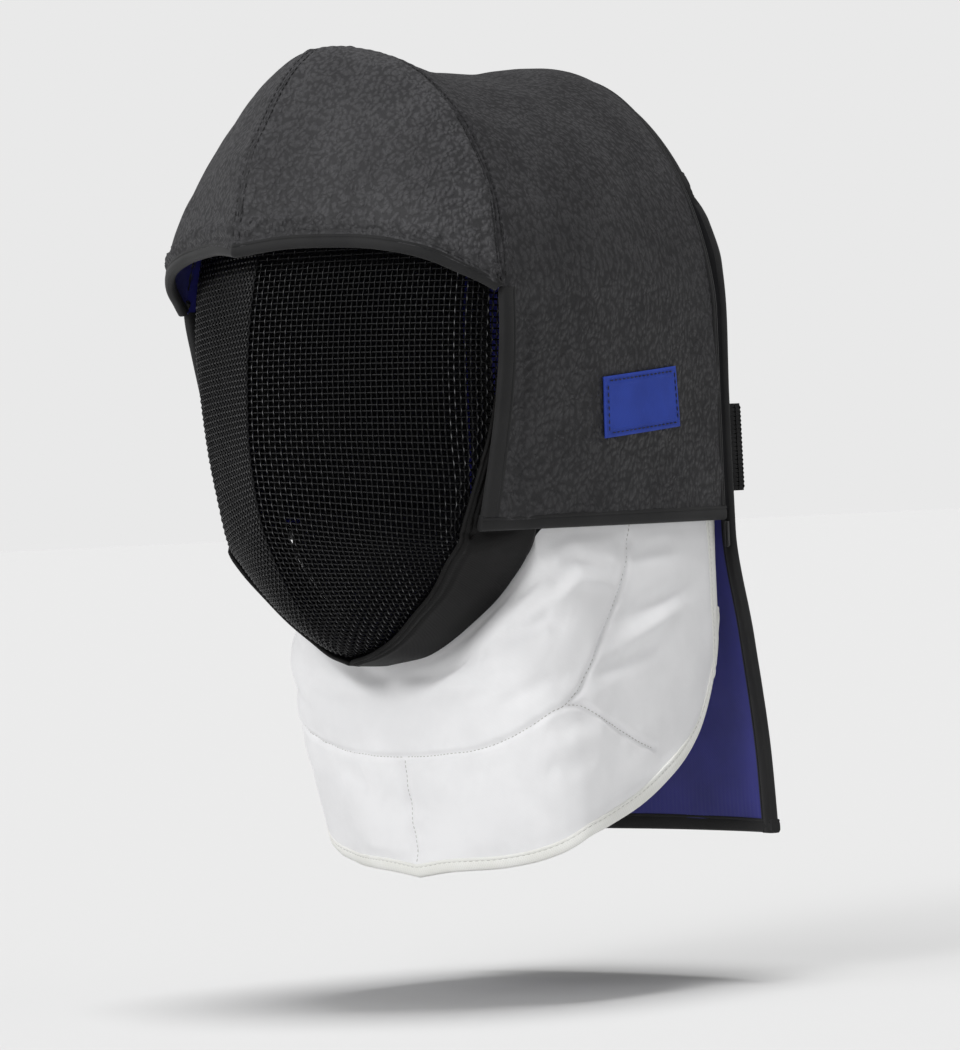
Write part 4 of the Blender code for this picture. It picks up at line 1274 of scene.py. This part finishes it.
# %% Band
def band_place(u, v):
    turn = np.abs(2 * u - 1)
    side = np.where(u < 0.5, -1.0, 1.0)
    start = band["start"](turn)
    way = side * lerp(start, 1.0, v)
    points = cage_surface(turn, way)
    normal = outward(cage_surface, turn, way)
    wide = apart(cage_surface(turn, side * start), cage_surface(turn, side))
    into = v * wide
    height = BAND_GAP + BAND - 0.0009 * bell(into, 0.0008) + 0.0005 * bell(into - 0.0022, 0.0011)
    height -= 0.0006 * bell(into - 0.0047, 0.0007)
    height += 0.0003 * bell(into - 0.0070, 0.0016) + ripple(points, 0.020, 0.0004, 4.0)
    height -= (BAND_GAP + 0.0009) * ease(1 - (wide - into) / 0.0035)
    return points + height[:, None] * normal


rim_cloth = lay("rim_cloth", 260, 44, band_place, (0.70, 0.035))
thicken(rim_cloth, BAND, HEAD)
dress(rim_cloth, "canvas", BAND_CLOTH, "rim_band")


# %% Piping
def piping_path():
    round_rim = np.linspace(-0.80, 0.80, 260)
    turn, side = np.abs(round_rim), np.sign(round_rim)
    start = band["start"](turn) - 0.006
    points = cage_surface(turn, side * start)
    return points + 0.0022 * outward(cage_surface, turn, side * start)


dress(wires("rim_cord", [piping_path()], 0.0011, 3), "canvas", BAND_CLOTH, "rim_piping")

# %% [markdown]
# ## Bib
# The throat bib is cotton over thin padding. An arc seam, a centre seam and a seam on each
# side quilt it. The padding swells between the seams and the cotton gathers into soft folds
# that run off them.

# %% Seams of the bib
# Turn and way of the places that each seam runs through.
ARC_SEAM = ((0.000, 0.445), (0.100, 0.470), (0.200, 0.515), (0.300, 0.540), (0.392, 0.552),
            (0.440, 0.553), (0.483, 0.545), (0.512, 0.500), (0.542, 0.438), (0.608, 0.300),
            (0.645, 0.200), (0.670, 0.100), (0.680, 0.020))
SIDE_SEAM = ((0.450, 0.553), (0.533, 0.638), (0.608, 0.713), (0.692, 0.812), (0.725, 0.850))


def seam_path(table, side, count=260):
    """A smooth line through a seam's places, as turns and ways."""
    table = np.array(table)
    marks = np.linspace(0.0, 1.0, len(table))
    share = np.linspace(0.0, 1.0, count)
    turn = smooth_through(marks, table[:, 0])(share)
    way = smooth_through(marks, table[:, 1])(share)
    return side * turn, way


BIB_SEAMS = [seam_path(table, side) for table in (ARC_SEAM, SIDE_SEAM) for side in (1, -1)]
BIB_SEAMS.append((np.zeros(160), np.linspace(ARC_SEAM[0][1], 0.94, 160)))
SEAM_TREE = tree_of(np.vstack([bib_surface(turn, way) for turn, way in BIB_SEAMS]))


# %% Folds of the bib
def bib_drop(turn):
    """Depth of the bib from its top edge to its lower one."""
    return apart(bib_surface(turn, 0.0), bib_surface(turn, 1.0))


def bib_flat(turn, way):
    """Place on the bib's flat cut, in metres round and down."""
    turn, way = arrays(turn, way)
    return np.stack((turn * BIB_SIDE, way * bib_drop(turn)), -1)


def fold(flat, start, end, width, depth):
    """A soft ridge in the cloth, or a hollow, along a line between two places of the cut."""
    start, end = bib_flat(*start), bib_flat(*end)
    line = end - start
    share = np.clip((flat - start) @ line / (line @ line), 0.0, 1.0)
    away = apart(flat, start + share[:, None] * line)
    return depth * bell(away, width) * np.sin(math.pi * np.clip(share, 0.02, 0.98)) ** 0.6


# Start and end of each fold as turn and way, its half width, and its height or depth.
BIB_FOLDS = (
    ((0.340, 0.080), (0.600, 0.205), 0.0042, -0.0030),
    ((0.370, 0.195), (0.620, 0.255), 0.0048, 0.0022),
    ((0.320, 0.180), (0.470, 0.310), 0.0042, -0.0028),
    ((0.265, 0.200), (0.420, 0.385), 0.0060, 0.0020),
    ((0.015, 0.060), (0.265, 0.165), 0.0055, -0.0030),
    ((0.075, 0.175), (0.345, 0.320), 0.0045, -0.0018),
    ((0.290, 0.400), (0.465, 0.480), 0.0045, -0.0020),
    ((0.595, 0.370), (0.910, 0.350), 0.0058, -0.0026),
    ((0.600, 0.445), (0.830, 0.385), 0.0050, 0.0022),
    ((0.515, 0.520), (0.750, 0.490), 0.0050, -0.0024),
    ((0.640, 0.165), (0.815, 0.150), 0.0050, -0.0020),
    ((0.395, 0.590), (0.545, 0.690), 0.0050, -0.0018),
    ((0.385, 0.710), (0.520, 0.785), 0.0055, -0.0018),
    ((0.130, 0.600), (0.240, 0.625), 0.0060, -0.0014),
)


# %% Bib
def bib_relief(turn, way, points):
    """Height of the swelling and the folds above the bib's plain surface."""
    away = np.array([SEAM_TREE.find(point)[2] for point in points])
    height = -0.0020 * bell(away, 0.0018) + 0.0012 * ease(away / 0.022) - 0.0006
    height += ripple(points, 0.009, 0.0012, 6.0) * np.exp(-away / 0.009)
    height += ripple(points, 0.050, 0.0022, 1.0) + ripple(points, 0.024, 0.0009, 8.0)
    off_seam = ease((away - 0.0006) / 0.004)
    for start, end, width, depth in BIB_FOLDS:
        height += off_seam * fold(bib_flat(turn, way), start, end, width, depth)
        height += off_seam * fold(bib_flat(-turn, way), start, end, width, 0.8 * depth)
    return height


def on_bib(turn, way, above=0.0):
    """Place on the bib's swelling surface, which lies flat under its tape and its top edge."""
    points = bib_surface(turn, way)
    normal = outward(bib_surface, turn, way, -1.0, 1.0)
    drop = bib_drop(turn)
    from_tape = np.minimum((1 - way) * drop, (1 - np.abs(turn)) * BIB_SIDE) - BIB_BINDING
    hidden = lerp(0.004, 0.011, ease((np.abs(turn) - 0.40) / 0.08))
    free = ease((way * drop - hidden) / 0.008) * ease((from_tape + 0.001) / 0.008)
    return points + (bib_relief(turn, way, points) * free + above)[:, None] * normal, normal


BIB_SHADED_STRIP = 3 / 128         # share of the cut that is tucked in behind the band and given black cloth as painted shade
BIB_CUT = (0.44, 0.115)


def bib_place(u, v):
    turn = (2 * u - 1) * (1 - 0.004 / BIB_SIDE)
    drop = bib_drop(turn)
    strip = np.clip(v / BIB_SHADED_STRIP, 0.0, 1.0)
    rest = np.clip((v - BIB_SHADED_STRIP) / (1 - BIB_SHADED_STRIP), 0.0, 1.0)
    return on_bib(turn, (strip - 1) * 0.0045 / drop + rest * (1 - 0.004 / drop))[0]


bib_pad = lay("bib_pad", 320, 128, bib_place, BIB_CUT)
face_out(bib_pad, HEAD)
bib_pad.data.materials.append(COTTON)
bib_pad.data.materials.append(PAD_CLOTH)
use_modifier(bib_pad, "SOLIDIFY", thickness=BIB, offset=-1.0, use_quality_normals=True,
             material_offset=1, material_offset_rim=1)
# The tucked-in strip of white cotton gets the black cloth, as painted shade behind the band.
uv_corners = bib_pad.data.uv_layers[0].data
shaded_strip_end = BIB_CUT[1] * (BIB_SHADED_STRIP + 0.001)
for polygon in bib_pad.data.polygons:
    if max(uv_corners[i].uv[1] for i in polygon.loop_indices) < shaded_strip_end:
        polygon.material_index = 1
smooth(bib_pad)
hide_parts("bib")
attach(bib_pad, "root")


# %% Bib binding and stitches
def bib_bottom(u, into):
    turn = 2 * u - 1
    drop = apart(bib_surface(turn, 0.9), bib_surface(turn, 1.0))
    into = into * (1 + 0.35 * ease((np.abs(turn) - 0.45) / 0.3))
    return bib_surface(turn, 1 - 0.1 * into / drop)


def bib_rear(side):
    return lambda u, into: bib_surface(side * (1 - 1.35 * into / BIB_SIDE), lerp(0.05, 0.999, u))


bib_tape = bind("bib_tape", bib_bottom, 240, BIB_BINDING, BIB, BINDING_PROUD, (0.46, 0.022))
dress(bib_tape, "trim", WHITE_TAPE, "bib_binding")
for side, hand in SIDES:
    tape = bind("bib_rear_tape_" + hand, bib_rear(side), 60, BIB_BINDING, BIB, BINDING_PROUD,
                (0.05, 0.022))
    dress(tape, "trim", WHITE_TAPE, "bib_binding")


def bib_rows():
    rows = [row_of(*on_bib(turn, way, 0.0001), length=0.0017, step=0.0025, radius=0.00030)
            for turn, way in BIB_SEAMS]
    for edge in (bib_bottom, bib_rear(1), bib_rear(-1)):
        path = along_surface(edge, SHARES, BIB_BINDING - TAPE_STITCH, 0.0003)
        rows.append(row_of(*path, length=0.0024, step=0.0034, radius=0.00022))
    return rows


sew("bib_stitches", bib_rows(), WHITE_THREAD_SHADED, "trim")

# %% [markdown]
# ## Back flap
# A curtain of the same hide hangs behind the neck, lined in blue and bound all round. The
# lining gathers a little along its lower edge.


# %% Flap and its lining
def flap_place(distance, ruffle):
    """Places of the flap's hide or lining, at a distance from its inner face."""
    def place(u, v):
        down = lerp(0.010, 1 - 0.004 / FLAP_LENGTH, v)
        across = (2 * u - 1) * (0.965 - 0.02 * (1 - ease(down / 0.25)))
        points = flap_surface(across, down)
        normal = outward(flap_surface, across, down, -1.0, 1.0)
        height = distance + ripple(points, 0.05, 0.0008, 2.5)
        if ruffle:
            low = (1 - down) * FLAP_LENGTH
            gathers = pucker(points[:, 0], low, 0.0034, 0.0006, 0.012)
            height -= gathers * ease((low - FLAP_BINDING) / 0.003)
        return points + height[:, None] * normal
    return place


FLAP_CUT = (0.20, 0.40)

curtain = lay("curtain", 90, 150, flap_place(WALL, False), FLAP_CUT)
thicken(curtain, LEATHER, HEAD)
dress(curtain, "leather", LEATHER_CROWN, "back_flap")
curtain_lining = lay("curtain_lining", 160, 110, flap_place(LINING, True), FLAP_CUT)
thicken(curtain_lining, LINING, HEAD)
dress(curtain_lining, "lining", SATIN, "flap_lining")


# %% Flap binding
FLAP_OUTER = WALL * np.array((0.0, 1.0, 0.0))       # from the flap's inner face to its outer
FLAP_TOP_BINDING = 0.0060


def flap_side(side):
    def edge(u, into):
        across = side * (1 - into / (0.85 * FLAP_HALF_WIDTH))
        return flap_surface(across, u) + FLAP_OUTER
    return edge


def flap_bottom(u, into):
    return flap_surface(2 * u - 1, 1 - into / FLAP_LENGTH) + FLAP_OUTER


def flap_top(u, into):
    return flap_surface((2 * u - 1) * 0.995, into / FLAP_LENGTH) + FLAP_OUTER


tape = bind("flap_top_tape", flap_top, 110, FLAP_TOP_BINDING, WALL, BINDING_PROUD,
            (0.20, 0.018))
dress(tape, "binding", TAPE, "flap_binding")
flap_tape = bind("flap_tape", flap_bottom, 120, FLAP_BINDING, WALL, BINDING_PROUD, (0.22, 0.022))
dress(flap_tape, "binding", TAPE, "flap_binding")
for side, hand in SIDES:
    tape = bind("flap_side_tape_" + hand, flap_side(side), 160, FLAP_BINDING, WALL,
                BINDING_PROUD, (0.40, 0.022))
    dress(tape, "binding", TAPE, "flap_binding")

# %% [markdown]
# ## Strap, label and tabs
# Two layers of ribbed elastic webbing cross the flap at the height of the strap. The label
# on the left side of the hood is a blue woven patch with a dark stitched border, left bare.

# %% Strap
STRAP_HEIGHT = 0.046
STRAP = 0.0032
STRAP_Z = CROWN_Z - 0.2135
STRAP_SHARE = 0.96          # how far out on the flap the strap is sewn


def strap_place(distance, share):
    """Places of one ribbed layer, out to a share of the flap's half width."""
    def place(u, v):
        across = (2 * u - 1) * share
        top = flap_surface(across, 0.0)[..., 2]
        length = top - flap_surface(across, 1.0)[..., 2]
        rise = (0.5 - v) * STRAP_HEIGHT
        down = (top - STRAP_Z - rise) / length
        points = flap_surface(across, down)
        ribs = 0.00022 * np.cos(2 * math.pi * rise / 0.0023)
        height = distance + ribs - 0.0007 * bell(0.5 - np.abs(v - 0.5), 0.02)
        return points + height[:, None] * outward(flap_surface, across, down, -1.0, 1.0)
    return place


STRAP_OUT = WALL + BINDING_PROUD + GAP + STRAP
for name, distance, node in (("strap_under", STRAP_OUT, "back_strap"),
                             ("strap_over", STRAP_OUT + GAP + STRAP, "strap_overlap")):
    strap = lay(name, 80, 120, strap_place(distance, STRAP_SHARE), (0.18, STRAP_HEIGHT))
    thicken(strap, STRAP - 0.0004, HEAD)
    dress(strap, "webbing", WEBBING, node)

# %% Label
LABEL_WIDTH = 0.0630
LABEL_HEIGHT = 0.0315
LABEL_BEHIND_SEAM = 0.0920
LABEL_BELOW_CROWN = 0.1885
LABEL_TILT = math.radians(4.5)


def label_surface(u, v):
    """Place on the hood under the label. v runs up."""
    run = (u - 0.5) * LABEL_WIDTH
    rise = (v - 0.5) * LABEL_HEIGHT
    y = SEAM_Y + LABEL_BEHIND_SEAM + run * math.cos(LABEL_TILT) - rise * math.sin(LABEL_TILT)
    z = CROWN_Z - LABEL_BELOW_CROWN + run * math.sin(LABEL_TILT) + rise * math.cos(LABEL_TILT)
    front = hood_front(z)
    along = (y - front) / (REAR_Y - front)
    return hood_surface(along, arch_above_hem(along, z - HEM_Z))


def label_place(u, v):
    points = label_surface(u, v)
    edge = np.minimum(np.minimum(u, 1 - u) * LABEL_WIDTH, np.minimum(v, 1 - v) * LABEL_HEIGHT)
    height = 0.0016 + ripple(points, 0.045, 0.0011, 3.0) - 0.0003 * bell(edge - 0.0024, 0.0007)
    height -= 0.0005 * bell(edge, 0.0006)
    height += 0.00025 * bell(edge - 0.0042, 0.0004)
    return points + height[:, None] * outward(label_surface, u, v)


label = lay("label", 84, 44, label_place, (LABEL_WIDTH, LABEL_HEIGHT))
thicken(label, LABEL_WALL, HEAD)
dress(label, "label", PATCH, "label_patch")


def label_rows():
    inset = 0.0024
    a, b = inset / LABEL_WIDTH, inset / LABEL_HEIGHT
    corners = ((a, b), (1 - a, b), (1 - a, 1 - b), (a, 1 - b), (a, b))
    rows = []
    for (u0, v0), (u1, v1) in zip(corners[:-1], corners[1:]):
        u, v = lerp(u0, u1, SHARES), lerp(v0, v1, SHARES)
        rows.append(row_of(*along_surface(label_surface, u, v, 0.0019), length=0.0026, step=0.0035))
    return rows


sew("label_stitches", label_rows(), BLACK_THREAD, "label")


# %% Tabs at the rear corners of the hem
TAB_WIDTH = 0.0085
TAB_LENGTH = 0.013


def tab_place(side):
    corner = hood_surface(1.0, side)
    turn = side * math.radians(37)
    wide = np.array((-math.sin(turn), math.cos(turn), 0.0))
    out = np.array((math.cos(turn), math.sin(turn), 0.0))

    def place(u, v):
        low = HEM_Z - GAP - BINDING_PROUD
        bottom = low - TAB_LENGTH
        round_way = math.pi * np.clip((v - 0.42) / 0.16, 0.0, 1.0)
        leg = np.where(v < 0.42, v / 0.42, np.where(v > 0.58, (1 - v) / 0.42, 1.0))
        z = lerp(low, bottom + 0.0007, leg) - 0.0007 * np.sin(round_way)
        through = 0.0006 * np.cos(round_way) + 0.0002 * np.sin(9.0 * u + side)
        base = np.array((corner[0], REAR_Y, 0.0))
        across = base + (u - 0.5)[:, None] * TAB_WIDTH * wide
        return across + through[:, None] * out + z[:, None] * (0.0, 0.0, 1.0)
    return place


for side, hand in SIDES:
    tab = lay("tab_" + hand, 10, 36, tab_place(side), (TAB_WIDTH, 2 * TAB_LENGTH))
    use_modifier(tab, "SOLIDIFY", thickness=TAB_WALL, offset=0.0)
    smooth(tab)
    dress(tab, "binding", TAPE, "rear_tab_" + hand)

# %% [markdown]
# ## Studio
# The mask hangs a little above a plain pale floor, in soft even light from all round. A broad
# key light comes from the front left, with a smaller light beside it for the glints on the
# wires. A strong light from above and a weak one from the right are kept out of reflections.
# The camera stands level with the mask, three metres away, with the same turn and lean as
# the photograph.

# %% Floor
FLOOR_Z = -0.479
FLOOR_TONE = (0.5845, 0.5845, 0.5845)
leave_all()
bpy.ops.mesh.primitive_circle_add(vertices=96, radius=40.0, fill_type="NGON",
                                  location=(0.0, 0.0, FLOOR_Z))
floor = bpy.context.object
floor.name = "floor"
look, board, shader = finish("pale studio floor", FLOOR_TONE, 0.95, specular=0.0)
floor.data.materials.append(look)

# %% Lights and world
FACING = math.radians(46)
SKY_LIGHT = 0.34            # what the surroundings give the mask
SKY_SEEN = 0.815            # how bright the camera sees them


def away_at(azimuth, elevation):
    """Direction away from the mask, azimuth from its front and elevation in radians."""
    level = math.cos(elevation)
    return Vector((level * math.sin(azimuth), -level * math.cos(azimuth), math.sin(elevation)))


def sunbox(name, azimuth, elevation, spread, power, gleams=True):
    """Soft light from far away, so that the floor is lit evenly to its edge.

    A light that doesn't gleam is kept out of reflections.
    """
    data = bpy.data.lights.new(name, "SUN")
    data.angle = math.radians(spread)
    data.energy = power
    light = bpy.data.objects.new(name, data)
    light.visible_glossy = gleams
    bpy.context.scene.collection.objects.link(light)
    light.rotation_mode = "QUATERNION"
    to_light = away_at(azimuth, math.radians(elevation))
    light.rotation_quaternion = (-to_light).to_track_quat("-Z", "Y")


sunbox("key", FACING - math.radians(45), 28, 60, 1.00)
sunbox("side", FACING + math.radians(80), 20, 50, 0.12, gleams=False)
sunbox("top", FACING, 87, 22, 2.60, gleams=False)
sunbox("glint", FACING - math.radians(38), 30, 16, 0.60)

world = bpy.data.worlds.new("studio")
bpy.context.scene.world = world
world.use_nodes = True
sky = Board(world.node_tree)
glow = world.node_tree.nodes["Background"]
glow.inputs["Color"].default_value = (1.0, 1.0, 1.0, 1.0)
seen = sky.add("LightPath")
strength = sky.spread(seen.outputs["Is Camera Ray"], 0.0, 1.0, SKY_LIGHT, SKY_SEEN)
sky.join(strength, glow.inputs["Strength"])

# %% Camera
AIM = Vector((0.002, 0.001, -0.232))
HEIGHT_ANGLE = math.radians(0.3)
LEAN = math.radians(-2.6)
CAMERA_AWAY = 3.0
SENSOR = 36.0
FOCAL_PIXELS = 5700         # focal length in the photograph's pixels
PHOTO_PIXELS = 960          # the photograph's width
back = away_at(FACING, HEIGHT_ANGLE)
lens = bpy.data.cameras.new("camera")
lens.sensor_fit = "HORIZONTAL"
lens.sensor_width = SENSOR
lens.lens = SENSOR * FOCAL_PIXELS / PHOTO_PIXELS
lens.clip_end = 200.0
camera = bpy.data.objects.new("camera", lens)
bpy.context.scene.collection.objects.link(camera)
camera.location = AIM + CAMERA_AWAY * back
camera.rotation_mode = "QUATERNION"
look_at = (-back).to_track_quat("-Z", "Y").to_matrix()
lean = look_at @ Vector((0.0, 0.0, 1.0))
camera.rotation_quaternion = (Matrix.Rotation(LEAN, 3, lean) @ look_at).to_quaternion()
bpy.context.scene.camera = camera
bpy.context.scene.view_settings.view_transform = "Standard"
